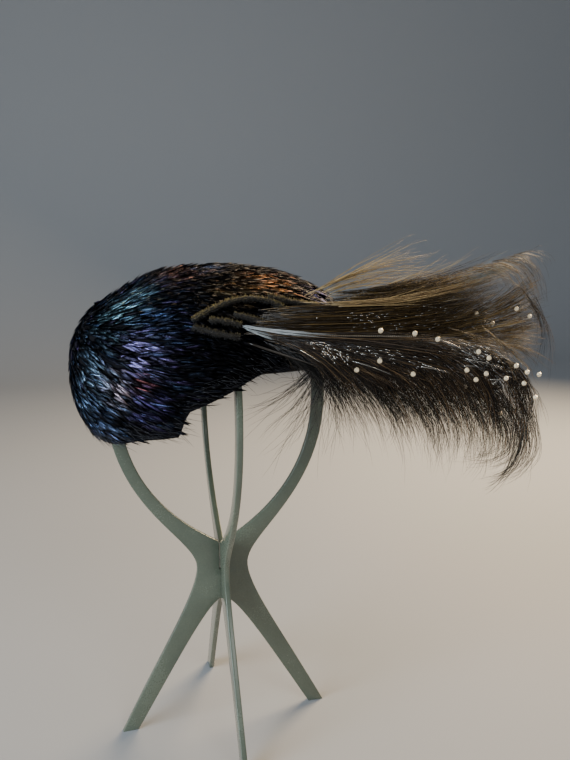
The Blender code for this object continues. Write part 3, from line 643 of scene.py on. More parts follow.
def feed(tree, node, inputs):
    """Gives a node its inputs: a socket is linked, any other value is set."""
    for key, value in inputs.items():
        if isinstance(value, bpy.types.NodeSocket):
            tree.links.new(value, node.inputs[key])
        else:
            node.inputs[key].default_value = value
    return node


def add_node(tree, kind, inputs, **settings):
    """A shader node of a kind, with its inputs and settings."""
    node = tree.nodes.new("ShaderNode" + kind)
    for key, value in settings.items():
        setattr(node, key, value)
    return feed(tree, node, inputs)


def math_value(tree, operation, *values):
    """The result of a Math node."""
    return add_node(tree, "Math", dict(enumerate(values)), operation=operation).outputs[0]


def grain_group():
    """Fine grain for moulded and felted surfaces: colour, roughness and height that vary.

    A broad noise plus half a fine one blends the dark and pale ends.
    """
    found = bpy.data.node_groups.get("Surface Grain")
    if found:
        return found
    dark, pale = (0.1, 0.1, 0.1, 1), (0.2, 0.2, 0.2, 1)
    group, given, result = new_group(
        "Surface Grain",
        {"Dark": dark, "Pale": pale, "Scale": 400.0, "Rough Low": 0.3, "Rough High": 0.5},
        {"Colour": "Color", "Roughness": "Float", "Height": "Float"},
    )
    given = given.outputs
    place = add_node(group, "TexCoord", {}).outputs["Object"]
    noise = {"Vector": place, "Scale": 22.0, "Detail": 4.0, "Roughness": 0.6}
    broad = add_node(group, "TexNoise", noise).outputs[0]
    noise = {"Vector": place, "Scale": given["Scale"], "Detail": 5.0}
    fine = add_node(group, "TexNoise", noise).outputs[0]
    both = math_value(group, "MULTIPLY_ADD", fine, 0.5, broad)
    span = {"Value": both, "From Min": 0.55, "From Max": 1.0}
    mask = add_node(group, "MapRange", span).outputs[0]
    ends = {0: mask, 6: given["Dark"], 7: given["Pale"]}
    colour = add_node(group, "Mix", ends, data_type="RGBA").outputs[2]
    ends = {0: mask, 2: given["Rough Low"], 3: given["Rough High"]}
    rough = add_node(group, "Mix", ends, data_type="FLOAT").outputs[0]
    feed(group, result, {"Colour": colour, "Roughness": rough, "Height": fine})
    return group


def strand_group():
    """Colour and fine slanted lines of a strand or vane from its own tint and its map.

    The map runs across in U and from root to tip in V. The tint is shaded towards the root and
    mottled by noise, and the lines are sin(lines * (V - |U - 1/2|)).
    """
    found = bpy.data.node_groups.get("Strand Tone")
    if found:
        return found
    group, given, result = new_group(
        "Strand Tone",
        {"Root Shade": 0.5, "Mottle": 0.3, "Lines": 40.0},
        {"Colour": "Color", "Height": "Float"},
    )
    given = given.outputs
    tint = add_node(group, "Attribute", {}, attribute_name="tint").outputs["Color"]
    place = add_node(group, "TexCoord", {}).outputs
    across, along, _ = add_node(group, "SeparateXYZ", {0: place["UV"]}).outputs
    noise = {"Vector": place["Object"], "Scale": 260.0, "Detail": 3.0}
    noise = add_node(group, "TexNoise", noise).outputs[0]
    span = {"Value": along, "From Max": 0.55, "To Min": given["Root Shade"], "To Max": 1.0}
    shade = add_node(group, "MapRange", span).outputs[0]
    span = {"Value": noise, "From Min": 0.35, "From Max": 0.65, "To Min": 1.0}
    spot = add_node(group, "MapRange", span | {"To Max": given["Mottle"]}).outputs[0]
    both = math_value(group, "MULTIPLY", shade, spot)
    colour = add_node(group, "VectorMath", {0: tint, "Scale": both}, operation="SCALE")
    aside = math_value(group, "ABSOLUTE", math_value(group, "SUBTRACT", across, 0.5))
    slant = math_value(group, "SUBTRACT", along, aside)
    wave = math_value(group, "SINE", math_value(group, "MULTIPLY", slant, given["Lines"]))
    feed(group, result, {"Colour": colour.outputs[0], "Height": wave})
    return group


def new_material(name, **sockets):
    """A material with one Principled BSDF whose plain values are set on its own sockets."""
    material = bpy.data.materials.new(name)
    material.use_nodes = True
    shader = material.node_tree.nodes["Principled BSDF"]
    for label, value in sockets.items():
        shader.inputs[label.replace("_", " ")].default_value = value
    return material, material.node_tree, shader


def group_material(name, group, values, bump, **sockets):
    """A material with a group's colour and height, and with its roughness where it has one."""
    material, tree, shader = new_material(name, **sockets)
    node = add_node(tree, "Group", {}, node_tree=group)
    feed(tree, node, values)
    relief = {"Height": node.outputs["Height"], "Strength": bump[0], "Distance": bump[1]}
    relief = add_node(tree, "Bump", relief).outputs[0]
    feed(tree, shader, {"Base Color": node.outputs["Colour"], "Normal": relief})
    if "Roughness" in node.outputs:
        feed(tree, shader, {"Roughness": node.outputs["Roughness"]})
    return material


def grainy_material(name, dark, pale, scale, rough, bump, **sockets):
    """A moulded or felted surface: bump is its strength and distance."""
    values = {"Dark": (*dark, 1), "Pale": (*pale, 1), "Scale": scale}
    values |= {"Rough Low": rough[0], "Rough High": rough[1]}
    return group_material(name, grain_group(), values, bump, **sockets)


def strand_material(name, root_shade, mottle, lines, bump, **sockets):
    """Barbs, vanes and fuzz: bump is its strength and distance."""
    values = {"Root Shade": root_shade, "Mottle": mottle, "Lines": lines}
    return group_material(name, strand_group(), values, bump, **sockets)


def bezier_run(knots):
    """Points along cubic stretches between knots of (place, handle before, handle after)."""
    shares = np.linspace(0.0, 1.0, EDGE_STEPS, endpoint=False)
    runs = []
    for first, second in zip(knots, knots[1:]):
        corners = np.array((first[0], first[2], second[1], second[0]))
        runs.append(cubic(corners, shares))
    return np.concatenate(runs + [np.array([knots[-1][0]])])


def plate_outer_edge():
    """Right outer edge of a plate from its top to the toe, in its own plane."""
    rise = STAND_HEIGHT - CRADLE_HEIGHT
    fall = CRADLE_HEIGHT - WAIST_HEIGHT
    top = ((0.0, STAND_HEIGHT), None, (0.55 * CRADLE_REACH, STAND_HEIGHT))
    cradle = (
        (CRADLE_REACH, CRADLE_HEIGHT),
        (CRADLE_REACH, CRADLE_HEIGHT + 0.55 * rise),
        (CRADLE_REACH, CRADLE_HEIGHT - 0.60 * fall),
    )
    waist = (
        (WAIST_REACH, WAIST_HEIGHT),
        (WAIST_REACH, WAIST_HEIGHT + 0.18 * fall),
        (WAIST_REACH, WAIST_HEIGHT * 0.84),
    )
    knee = (WAIST_REACH + 0.43 * (FOOT_REACH - WAIST_REACH), 0.53 * WAIST_HEIGHT)
    return bezier_run((top, cradle, waist, ((FOOT_REACH, 0.0), knee, None)))


def plate_inner_edges():
    """Right edge of the loop from the arch to the fork, and of the legs from crotch to heel."""
    top = STAND_HEIGHT - ARCH_WIDTH
    reach = CRADLE_REACH - ARM_WIDTH
    fall = CRADLE_HEIGHT - FORK_HEIGHT
    cradle = (
        (reach, CRADLE_HEIGHT),
        (reach, CRADLE_HEIGHT + 0.55 * (top - CRADLE_HEIGHT)),
        (reach, CRADLE_HEIGHT - 0.60 * fall),
    )
    fork = ((0.0, FORK_HEIGHT), (0.36 * reach, FORK_HEIGHT + 0.13 * fall), None)
    loop = bezier_run((((0.0, top), None, (0.55 * reach, top)), cradle, fork))
    heel = FOOT_REACH - FOOT_LENGTH
    crotch = ((0.0, CROTCH_HEIGHT), None, (0.15 * heel, CROTCH_HEIGHT))
    return loop, bezier_run((crotch, ((heel, 0.0), (0.50 * heel, 0.57 * CROTCH_HEIGHT), None)))


def run_lengths(line):
    """Length of a line from its start to each of its points."""
    steps = np.linalg.norm(np.diff(line, axis=0), axis=1)
    return np.concatenate(([0.0], np.cumsum(steps)))


def even_run(line, low, high, count):
    """Points evenly spaced by length between two shares of a line's length."""
    lengths = run_lengths(line)
    wanted = np.linspace(low, high, count) * lengths[-1]
    return np.stack([np.interp(wanted, lengths, line[:, axis]) for axis in range(2)], axis=1)


def share_at_height(line, height):
    """Share of a line's length at which it falls past this height for the last time."""
    lengths = run_lengths(line)
    return np.interp(-height, -line[:, 1], lengths) / lengths[-1]


def plate_edges(slot_low, slot_high):
    """Matched points of the outer and inner edge of a plate's right half, top to foot.

    Between slot_low and slot_high the inner edge keeps the slot's half width off the axis.
    """
    outer = plate_outer_edge()
    loop, legs = plate_inner_edges()
    fork = share_at_height(outer, FORK_HEIGHT)
    crotch = share_at_height(outer, CROTCH_HEIGHT)
    arms = even_run(outer, 0.0, fork, ARM_ROWS)[:-1]
    waist = even_run(outer, fork, crotch, WAIST_ROWS)[:-1]
    outer_line = np.concatenate((arms, waist, even_run(outer, crotch, 1.0, LEG_ROWS)))
    axis_z = np.linspace(FORK_HEIGHT, CROTCH_HEIGHT, WAIST_ROWS)
    middle = np.stack((np.zeros(WAIST_ROWS), axis_z), axis=1)[:-1]
    arms = even_run(loop, 0.0, 1.0, ARM_ROWS)[:-1]
    inner_line = np.concatenate((arms, middle, even_run(legs, 0.0, 1.0, LEG_ROWS)))
    in_slot = (inner_line[:, 1] > slot_low) & (inner_line[:, 1] < slot_high)
    inner_line[in_slot, 0] = np.maximum(inner_line[in_slot, 0], SLOT_HALF)
    return outer_line, inner_line


def edge_normals(line, side):
    """Normals in the plane of a line, to its right (1) or left (-1)."""
    ahead = unit(np.gradient(line, axis=0))
    return side * np.stack((ahead[:, 1], -ahead[:, 0]), axis=1)


def plate_half(outer, inner, rounding, mirror):
    """One half of a plate: a rounded section carried down between its two edges.

    The section's point is the edge, moved in by rounding * (1 - cos a), at half the plate's
    thickness less rounding * (1 - sin a). Where the inner edge lies on the axis it isn't rounded.
    """
    turn = np.linspace(0.0, np.pi / 2, 4)
    inset = rounding * (1 - np.cos(turn))
    level = STAND_PLATE / 2 - rounding * (1 - np.sin(turn))
    in_room = np.minimum(inner[:, 0] / rounding, 1.0)[:, None, None]
    inset = inset[None, :, None]
    outer_part = outer[:, None] - edge_normals(outer, -1)[:, None] * inset
    inner_part = inner[:, None] - edge_normals(inner, 1)[:, None] * inset * in_room
    across = np.concatenate(
        (outer_part, inner_part[:, ::-1], inner_part, outer_part[:, ::-1]), axis=1
    )
    depth = np.concatenate((level, level[::-1], -level, -level[::-1]))
    rows, columns = across.shape[:2]
    depth = np.broadcast_to(depth, (rows, columns))
    points = np.stack((across[..., 0], depth, across[..., 1]), axis=-1)
    top = np.arange(columns)
    faces = [
        grid_quads(rows, columns, cyclic=True),
        (top + (rows - 1) * columns)[None],
        top[::-1][None],
    ]
    if mirror:
        points[..., 0] *= -1
    else:
        faces = [block[:, ::-1] for block in faces]
    return points.reshape(-1, 3), faces


def stand_plate(name, cross, settings, material):
    """Both halves of a plate; the cross one is turned a quarter about the axis."""
    middle = (CROTCH_HEIGHT + FORK_HEIGHT) / 2
    slot = (0.0, middle) if cross else (middle, STAND_HEIGHT * 0.6)
    outer, inner = plate_edges(*slot)
    if cross:
        legs = inner[:, 1] < CROTCH_HEIGHT - 0.0005
        inner[legs, 0] = plate_edges(0.0, 0.0)[1][legs, 0]
    else:
        outer[0, 0] = inner[0, 0] = SLOT_HALF
    points, faces = [], []
    for mirror in (False, True):
        half, half_faces = plate_half(outer, inner, settings.rounding, mirror)
        faces += [face + len(points) * len(half) for face in half_faces]
        points.append(half)
    points = np.concatenate(points)
    if cross:
        points = np.stack((-points[:, 1], points[:, 0], points[:, 2]), axis=1)
    item = add_mesh(name, points, faces, material)
    item.data.set_sharp_from_angle(angle=PLATE_SHARP_ANGLE)
    return item


def feather_roots(settings, rng):
    """Roots on a golden-angle spiral about the pole past the left bulge, and that pole.

    Root k lies at the polar angle acos(1 - 2 (k + 1/2) / n) and k golden angles round.
    """
    number = np.arange(settings.feathers)
    polar = np.arccos(1 - 2 * (number + 0.5) / settings.feathers)
    around = number * np.pi * (3 - np.sqrt(5))
    local = np.stack(
        (np.sin(polar) * np.cos(around), np.sin(polar) * np.sin(around), np.cos(polar)), axis=1
    )
    turn = Matrix.Rotation(settings.pole_turn, 3, "Z")
    lean = np.array(turn @ Matrix.Rotation(settings.pole_tilt, 3, "Y"))
    directions = unit(local @ lean.T + rng.normal(0.0, 0.012, local.shape))
    return cap_surface(directions, 0.0), lean @ np.array((0.0, 0.0, 1.0))


def feather_tints(points, rng):
    """Colour of each feather: near black, with blue and copper sheen in patches, partly the
    feathers' own iridescence and partly painted highlights.

    A patch counts by exp(-(distance / radius)^2), times a random share so that it breaks up.
    Two crossed waves a centimetre or two long then darken whole tufts, so that the painted
    highlights come in patches.
    """
    count = len(points)
    tint = np.array(BLACK_VANE) * (0.4 + rng.random((count, 1)))
    # Painted sheen: faint blue and violet on the left bulge, where the cool light glints.
    left = smooth_step((-(points[:, 0] - CAP_MIDDLE[0]) / CAP_HALF_LENGTH - 0.15) / 0.6)
    left_sheen = (left * rng.random(count) ** 3.5)[:, None]
    violet = (rng.random(count) < VIOLET_SHARE)[:, None]
    tint = tint + left_sheen * np.where(violet, FAINT_VIOLET_SHEEN, FAINT_BLUE_SHEEN)
    near = np.where((points[:, 1] > 0)[:, None], points, points * (1, -1, 1))
    # Painted sheen: each patch blends its highlight colour into the tint.
    for patch in PAINTED_SHEEN_PATCHES:
        away = np.linalg.norm(near - patch[:3] * MM, axis=1) / (patch[3] * MM)
        weight = np.exp(-(away**2)) * np.clip(1.8 * rng.random(count) ** 1.7, 0.0, 1.0)
        tint = tint * (1 - weight)[:, None] + patch[4:] * weight[:, None]
    # Painted highlights: crossed waves leave some tufts bright and darken the rest.
    waves = np.sin(points @ (310.0, 170.0, 420.0)) + np.sin(points @ (-240.0, 390.0, 290.0) + 1.7)
    painted_highlight = smooth_step(0.5 + 0.45 * waves + rng.normal(0.0, 0.22, count))
    return tint * (0.12 + 1.15 * painted_highlight)[:, None]


def feather_meshes(points, flow, normals, lengths, widths, lifts, rolls, bends):
    """Closed leaf-shaped vanes that follow the cap's form.

    Vane point (s, k): root + flow * length * s + across * (width * k * w(s) / 2 + bend * s^2),
    put back on the form at the height root + (lift - root) * s + roll * k * half width +
    ridge * (1 - |k|).
    """
    stations = np.array((0.0, 0.30, 0.66, 1.0))
    widening = np.array((0.45, 1.0, 0.80, 0.0))
    sideways = np.cross(normals, flow)
    count = len(points)
    line = points[:, None] + flow[:, None] * (lengths[:, None] * stations)[..., None]
    line = line + sideways[:, None] * (bends[:, None] * stations**2)[..., None]
    rise = FEATHER_ROOT + (lifts - FEATHER_ROOT)[:, None] * stations
    half = widths[:, None] * widening / 2
    sweep = half[..., None] * sideways[:, None]
    tilt = rolls[:, None] * half
    left = cap_surface(line - sweep - CAP_MIDDLE, -(rise - tilt))
    right = cap_surface(line + sweep - CAP_MIDDLE, -(rise + tilt))
    spine = cap_surface(line - CAP_MIDDLE, -(rise + FEATHER_RIDGE * (1 - stations)))
    rings = np.stack((left, spine, right), axis=2)[:, :-1].reshape(count, -1, 3)
    vertices = np.concatenate((rings, spine[:, -1:]), axis=1)
    size = vertices.shape[1]
    tip = np.array(((6, 9, 7), (7, 9, 8), (8, 9, 6)))
    faces = [grid_quads(3, 3, cyclic=True)[:, ::-1], tip, np.array(((0, 1, 2),))]
    uv = np.array([(k / 2, s) for s in stations[:-1] for k in range(3)] + [(0.5, 1.0)])
    faces = repeated(faces, count, size)
    return vertices.reshape(-1, 3), faces, np.tile(uv, (count, 1)), size


def past_hem(tips):
    """How far a tip hangs below the hem at its own place or a little further back along X."""
    here = hem_height(tips[:, 0]) - tips[:, 2]
    behind = hem_height(tips[:, 0] - HEM_BACK) - tips[:, 2]
    return np.minimum(here, behind)


def feather_flow(points, normals, pole, spread, rng):
    """Direction of each feather over the form: away from the pole, swayed by a slow wave.

    Beside the pole it turns to run downwards, by exp(-(angle off the pole / whorl)^2).
    """
    away = -unit(pole - (normals @ pole)[:, None] * normals)
    down = unit(normals[:, 2:] * normals - (0.0, 0.0, 1.0))
    angle = np.arccos(np.clip(unit(points - CAP_MIDDLE) @ pole, -1.0, 1.0))
    whorl = np.exp(-((angle / WHORL) ** 2))[:, None]
    flow = unit(away * (1 - whorl) + down * whorl)
    sway = rng.normal(0.0, spread, len(points))
    sway += 0.20 * np.sin(points[:, 0] * 70 + points[:, 2] * 55 + 0.6)
    sideways = np.cross(normals, flow)
    return unit(flow * np.cos(sway)[:, None] + sideways * np.sin(sway)[:, None])


def feather_layer(name, settings, rng, near, material):
    """Feathers of the near or far half of the cover."""
    points, pole = feather_roots(settings, rng)
    normals = cap_normals(points)
    flow = feather_flow(points, normals, pole, FEATHER_SPREAD, rng)
    count = len(points)
    lengths = settings.feather_length * (0.65 + 0.65 * rng.random(count))
    widths = settings.feather_width * (0.45 + 0.90 * rng.random(count) ** 1.3)
    lifts = 0.0001 + 0.0011 * rng.random(count) ** 2.5
    lifts += CROWN_LIFT * smooth_step((normals[:, 2] - 0.55) / 0.35) * rng.random(count) ** 2
    rolls = rng.normal(0.0, 0.24, count)
    bends = rng.normal(0.0, 0.0012, count)
    tints = feather_tints(points, rng)
    past = past_hem(cap_surface(points + flow * lengths[:, None] - CAP_MIDDLE, 0.0))
    widths *= 1 - 0.5 * smooth_step(1 + past / 0.004)
    room = hem_height(points[:, 0]) - points[:, 2]
    ragged = 0.0010 + 0.0034 * rng.random(count) ** 3
    keep = (room < 0.001) & (past < ragged) & ((points[:, 1] < 0) == near)
    chosen = [part[keep] for part in (points, flow, normals, lengths, widths, lifts, rolls, bends)]
    vertices, faces, uv, size = feather_meshes(*chosen)
    return add_mesh(name, vertices, faces, material, np.repeat(tints[keep], size, axis=0), uv)


def hem_hairs(settings, rng, material):
    """Fine hairs that reach past the hem.

    Hair point t lies at root + flow * length * t, put back on the form at lift * t^2 off it.
    """
    points, pole = feather_roots(settings, rng)
    room = points[:, 2] - hem_height(points[:, 0])
    points = points[(room > 0.0) & (room < HAIR_BAND)]
    flow = feather_flow(points, cap_normals(points), pole, HAIR_SPREAD, rng)
    count = len(points)
    steps = np.linspace(0.0, 1.0, 5)
    length = rng.uniform(0.007, 0.016, (count, 1))
    lift = rng.uniform(0.0002, 0.0030, (count, 1))
    line = points[:, None] + flow[:, None] * (length * steps)[..., None]
    paths = cap_surface(line - CAP_MIDDLE, -(lift * steps**2))
    tint = np.array(HAIR_TINT) * rng.uniform(0.5, 2.5, (count, 1))
    points, faces, tints, uv = strand_block(paths, settings.hair_radius, tint)
    return add_mesh("hem_hairs", points, faces, material, tints, uv)


def near_side(along, up):
    """Points of the cap's near side at shares of the half length and rise, and normals.

    The share of the half depth is (1 - |along|^p - |up|^p)^(1/p), towards the near side.
    """
    rest = 1 - np.abs(along) ** CAP_FULLNESS - np.abs(up) ** CAP_FULLNESS
    side = -np.maximum(rest, 0.0) ** (1 / CAP_FULLNESS)
    halves = np.array((CAP_HALF_LENGTH, CAP_HALF_DEPTH, CAP_RISE))
    places = CAP_MIDDLE + np.stack((along, side, up), axis=-1) * halves
    return places, cap_normals(places)


def stem_line(stem):
    """A parabola through the stem's start, middle and end, laid on the cap's near side."""
    share = np.linspace(0.0, 1.0, STEM_STEPS)
    weights = np.stack(
        ((1 - share) * (1 - 2 * share), 4 * share * (1 - share), share * (2 * share - 1)), axis=1
    )
    along = weights @ np.array((stem.start_x, stem.middle_x, stem.end_x))
    up = weights @ np.array((stem.start_z, stem.middle_z, stem.end_z))
    places, normals = near_side(along, up)
    return places + normals * STEM_CENTRE_LIFT, normals


def fuzzy_stem(name, stem, settings, rng, material):
    """A stem: a soft core and short fibres that stand out of it all round.

    Fibre i starts at a random share of the line and a random turn about it, and runs outwards
    by the fuzz length, bent a little along the stem.
    """
    line, normals = stem_line(stem)
    ahead = unit(np.gradient(line, axis=0))
    ends = np.sin(np.linspace(0.12, np.pi - 0.12, STEM_STEPS)) ** 0.25
    core_radii = settings.stem_radius * STEM_CORE * ends
    core, core_faces, core_size = strands(line[None], core_radii[None], 10, lean=normals[None])
    shade = np.tile(STEM_SHADE, (core_size, 1))
    core_uv = np.tile((0.5, 0.1), (core_size, 1))

    count = int(run_lengths(line)[-1] * settings.fuzz)
    share = rng.random(count) * (STEM_STEPS - 1)
    low = np.minimum(share.astype(int), STEM_STEPS - 2)
    blend = (share - low)[:, None]
    base = line[low] * (1 - blend) + line[low + 1] * blend
    across = unit(np.cross(ahead[low], normals[low]))
    turn = rng.random(count) * 2 * np.pi
    out = across * np.cos(turn)[:, None] + normals[low] * np.sin(turn)[:, None]
    out = unit(out + ahead[low] * rng.normal(0.25, 0.55, (count, 1)))
    reach = settings.stem_radius * rng.uniform(0.55, 1.45, (count, 1))
    steps = np.array((0.35, 0.75, 1.0))[None, :, None]
    paths = base[:, None] + out[:, None] * reach[:, None] * steps
    paths[:, -1] += ahead[low] * rng.normal(0.0, 0.0003, (count, 1))
    radii = np.tile(FUZZ_RADII, (count, 1))
    fuzz, fuzz_faces, fuzz_size = strands(paths, radii, 3, lean=ahead[low][:, None])
    # Painted light: fibres that point up get the pale colour, as if lit from above, and those that
    # point down stay dark.
    painted_top_light = smooth_step(0.42 + 0.66 * out[:, 2])
    pale = painted_top_light * (0.25 + 0.75 * rng.random(count)) * stem.pale
    tint = np.array(FUZZ_DARK) + (pale**1.3)[:, None] * np.array(FUZZ_PALE)
    fuzz_uv = np.tile(((0.5, 0.2),) * 6 + ((0.5, 1.0),), (count, 1))
    core = (core, core_faces, shade, core_uv)
    fuzz = (fuzz, fuzz_faces, np.repeat(tint, fuzz_size, axis=0), fuzz_uv)
    points, faces, tints, uv = joined((core, fuzz))
    return add_mesh(name, points, faces, material, tints, uv)


def quill_block(quill, radius, pale, dark, fade):
    """The bare shaft: a flattened tapering tube that turns from pale to dark at share fade."""
    shares = np.linspace(0.0, 1.0, 36)
    places = cubic(np.array(QUILLS[quill]) * MM, shares)
    thick = SHAFT_TIP + (radius - SHAFT_TIP) * smooth_step((fade * 1.3 - shares) / fade)
    radii = thick * smooth_step(shares * 14 + 0.3) * (1 - 0.6 * shares)
    points, faces, size = strands(places[None], radii[None], 8, flat=0.6)
    turn = smooth_step((np.append(np.repeat(shares[:-1], 8), 1.0) - 0.7 * fade) / fade)[:, None]
    tint = np.array(pale) + (np.array(dark) - np.array(pale)) * turn
    return points, faces, tint, np.tile((0.5, 0.8), (size, 1))


def guide_corners(sheaf):
    """Corners of a sheaf's guides as (guides, 4, 3) in metres; y runs evenly to the tip."""
    flat = np.array(sheaf.guides).reshape(-1, 4, 2)
    level = np.broadcast_to(np.linspace(sheaf.y_root, sheaf.y_tip, 4), flat.shape[:2])
    return np.stack((flat[..., 0], level, flat[..., 1]), axis=-1) * MM


def sheaf_paths(sheaf, rng):
    """Centre lines of a sheaf's strands.

    Strand i takes a place across the guides and blends the two cubics beside it. Its point at
    share t is that cubic at begin + (end - begin) t, plus a drift times t^1.5 and a slow wave
    times t. Strands of one clump share most of their place, ends and drift. What passes the
    plume's reach is drawn in.
    """
    guides = guide_corners(sheaf)
    count = sheaf.strands
    clumps = max(3, count // sheaf.clump)
    clump = rng.integers(0, clumps, count)
    centre = (np.arange(clumps) + rng.random(clumps)) / clumps
    place = np.clip(centre[clump] + rng.normal(0.0, 0.35 / clumps, count), 0.0, 0.9999)
    place *= len(guides) - 1
    low = place.astype(int)
    blend = (place - low)[:, None, None]
    corners = guides[low] * (1 - blend) + guides[low + 1] * blend

    def spread_out(low_end, high_end):
        share = 0.55 * rng.random(clumps)[clump] + 0.45 * rng.random(count)
        return (low_end + (high_end - low_end) * share)[:, None]

    begin = spread_out(sheaf.begin_low, sheaf.begin_high)
    end = spread_out(sheaf.end_low, sheaf.end_high)
    steps = np.linspace(0.0, 1.0, STRAND_STEPS)
    paths = cubic(np.moveaxis(corners, 1, 0)[:, :, None], begin + (end - begin) * steps)
    reach = np.array((sheaf.wander, sheaf.depth * 0.4, sheaf.wander)) * MM
    drift = rng.normal(0, 0.7, (clumps, 3))[clump] + rng.normal(0, 0.5, (count, 3))
    paths += (steps**1.5)[None, :, None] * (drift * reach)[:, None]
    phase = rng.random((count, 1, 3)) * 6.28
    wave = np.sin(phase + steps[None, :, None] * rng.uniform(3.0, 9.0, (count, 1, 1)))
    paths += 0.16 * reach * wave * steps[None, :, None]
    layer = 0.6 * rng.normal(0, 1, clumps)[clump] + 0.5 * rng.normal(0, 1, count)
    paths[..., 1] += np.clip(layer, -1.6, 1.6)[:, None] * sheaf.depth * 0.0006 * (0.3 + 0.7 * steps)
    past = np.maximum(paths[..., 0] - PLUME_REACH, 0.0)
    paths[..., 0] -= past - PLUME_SLACK * (1 - np.exp(-past / PLUME_SLACK))
    return paths


def stone_places():
    """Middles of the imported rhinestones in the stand's frame."""
    boxes = [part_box(name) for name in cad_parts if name.startswith("rhinestone")]
    return np.array([(low + high) / 2 for low, high in boxes]) - STAND_AXIS


def gather_behind_stones(paths, stones):
    """Brings the strand points about a stone to just behind it, so that it sits on them.

    A point counts by its distance from the stone across the direction in which the near side
    faces: all of it within the stone's radius, none from three radii on.
    """
    facing = unit(np.array(CAMERA_AIM))
    for stone in stones:
        offset = paths - stone
        ahead = offset @ facing
        aside = np.linalg.norm(offset - ahead[..., None] * facing, axis=-1)
        weight = 1 - smooth_step((aside - STONE_RADIUS) / STONE_FADE)
        weight = weight * (np.abs(ahead) < STONE_CATCH)
        paths = paths + ((STONE_BED - ahead) * weight)[..., None] * facing
    return paths


def sheaf_tints(sheaf, rng):
    """Colour of each strand between its family's dark and pale ends."""
    dark, pale = (np.array(colour) for colour in FAMILIES[sheaf.family])
    is_pale = rng.random(sheaf.strands) < sheaf.pale
    share = rng.random(sheaf.strands)
    share = np.where(is_pale, 0.30 + 0.70 * share, 0.14 * share**2)
    return dark + (pale - dark) * share[:, None]


def strand_block(paths, radius, tint):
    """Three-sided strands that taper to 0.3 of the radius, with tints and a map root to tip."""
    steps = np.linspace(0.0, 1.0, paths.shape[1])
    radii = np.broadcast_to(radius * np.linspace(1.0, 0.30, len(steps)), paths.shape[:2])
    points, faces, size = strands(paths, radii, 3)
    ring = np.append(np.repeat(steps[:-1], 3), 1.0)
    uv = np.tile(np.stack((np.full(size, 0.5), ring), axis=1), (len(paths), 1))
    return points, faces, np.repeat(tint, size, axis=0), uv


def plume_piece(quill, settings, rng, material):
    """One plume: its shaft and every sheaf of strands that belongs to it."""
    blocks = [quill_block(quill, *SHAFTS[quill])]
    stones = stone_places()
    for sheaf in SHEAVES:
        if sheaf.solid == quill:
            paths = gather_behind_stones(sheaf_paths(sheaf, rng), stones)
            radius = sheaf.radius * MM * settings.strand_thickness
            blocks.append(strand_block(paths, radius, sheaf_tints(sheaf, rng)))
    points, faces, tints, uv = joined(blocks)
    return add_mesh(f"{quill}_strands", points, faces, material, tints, uv)


def glitter_fibres(settings, rng, material):
    """Short straight bits cut from strands of the glitter sheaves, and the long threads.

    A bit runs from a random place on one step of its strand over a few millimetres. A thread
    runs straight between its ends, raised by its bow * sin(pi t).
    """
    blocks = []
    for sheaf in GLITTER:
        paths = sheaf_paths(sheaf, rng)
        step = rng.integers(0, STRAND_STEPS - 1, len(paths))
        row = np.arange(len(paths))
        start = paths[row, step]
        ahead = unit(paths[row, step + 1] - start)
        length = settings.glitter_length * rng.uniform(0.4, 1.6, (len(paths), 1))
        bits = start[:, None] + (ahead * length)[:, None] * np.linspace(0, 1, 3)[None, :, None]
        blocks.append(strand_block(bits, sheaf.radius * MM, sheaf_tints(sheaf, rng)))
    share = np.linspace(0.0, 1.0, 7)
    for thread in THREADS:
        line = thread[None, :3] + (thread[3:6] - thread[:3]) * share[:, None]
        line[:, 2] += thread[7] * np.sin(np.pi * share)
        tint = np.array([FAMILIES["foil"][1]])
        blocks.append(strand_block(line[None] * MM, thread[6] * MM, tint))
    points, faces, tints, uv = joined(blocks)
    return add_mesh("glitter_fibres", points, faces, material, tints, uv)


def bead_row(settings, material):
    """Seed beads on a straight thread: spheres of three rings and six columns, in a row."""
    middles = BEAD_LINE[0] + (BEAD_LINE[1] - BEAD_LINE[0]) * np.linspace(0, 1, BEADS)[:, None]
    azimuth, elevation = np.meshgrid(np.arange(6) * (np.pi / 3), np.radians((-45.0, 0.0, 45.0)))
    rings = directions_at(azimuth, elevation)
    ball, faces = capped_rings(rings, np.array((0, 0, -1.0)), np.array((0, 0, 1.0)))
    points = middles[:, None] * MM + ball[None] * settings.bead_size / 2
    faces = repeated(faces, BEADS, len(ball))
    return add_mesh("seed_beads", points.reshape(-1, 3), faces, material)


def length_property(**options):
    """A property that holds a length."""
    return bpy.props.FloatProperty(subtype="DISTANCE", unit="LENGTH", **options)


def angle_property(**options):
    """A property that holds an angle."""
    return bpy.props.FloatProperty(subtype="ANGLE", unit="ROTATION", **options)


def power_property(**options):
    """A property that holds a lamp's power."""
    return bpy.props.FloatProperty(subtype="POWER", unit="POWER", **options)


def colour_property(**options):
    """A property that holds a colour."""
    return bpy.props.FloatVectorProperty(size=3, min=0.0, max=1.0, subtype="COLOR", **options)


class StandLook(bpy.types.PropertyGroup):
    rounding: length_property(
        name="Edge rounding",
        description="Radius of the moulded plates' edges",
        default=0.0007,
        min=0.0001,
        max=0.0015,
    )
    dark: colour_property(
        name="Plastic, dark",
        description="Darkest shade of the sage plastic",
        default=(0.085, 0.103, 0.074),
    )
    pale: colour_property(
        name="Plastic, pale",
        description="Palest shade of the sage plastic",
        default=(0.130, 0.153, 0.108),
    )


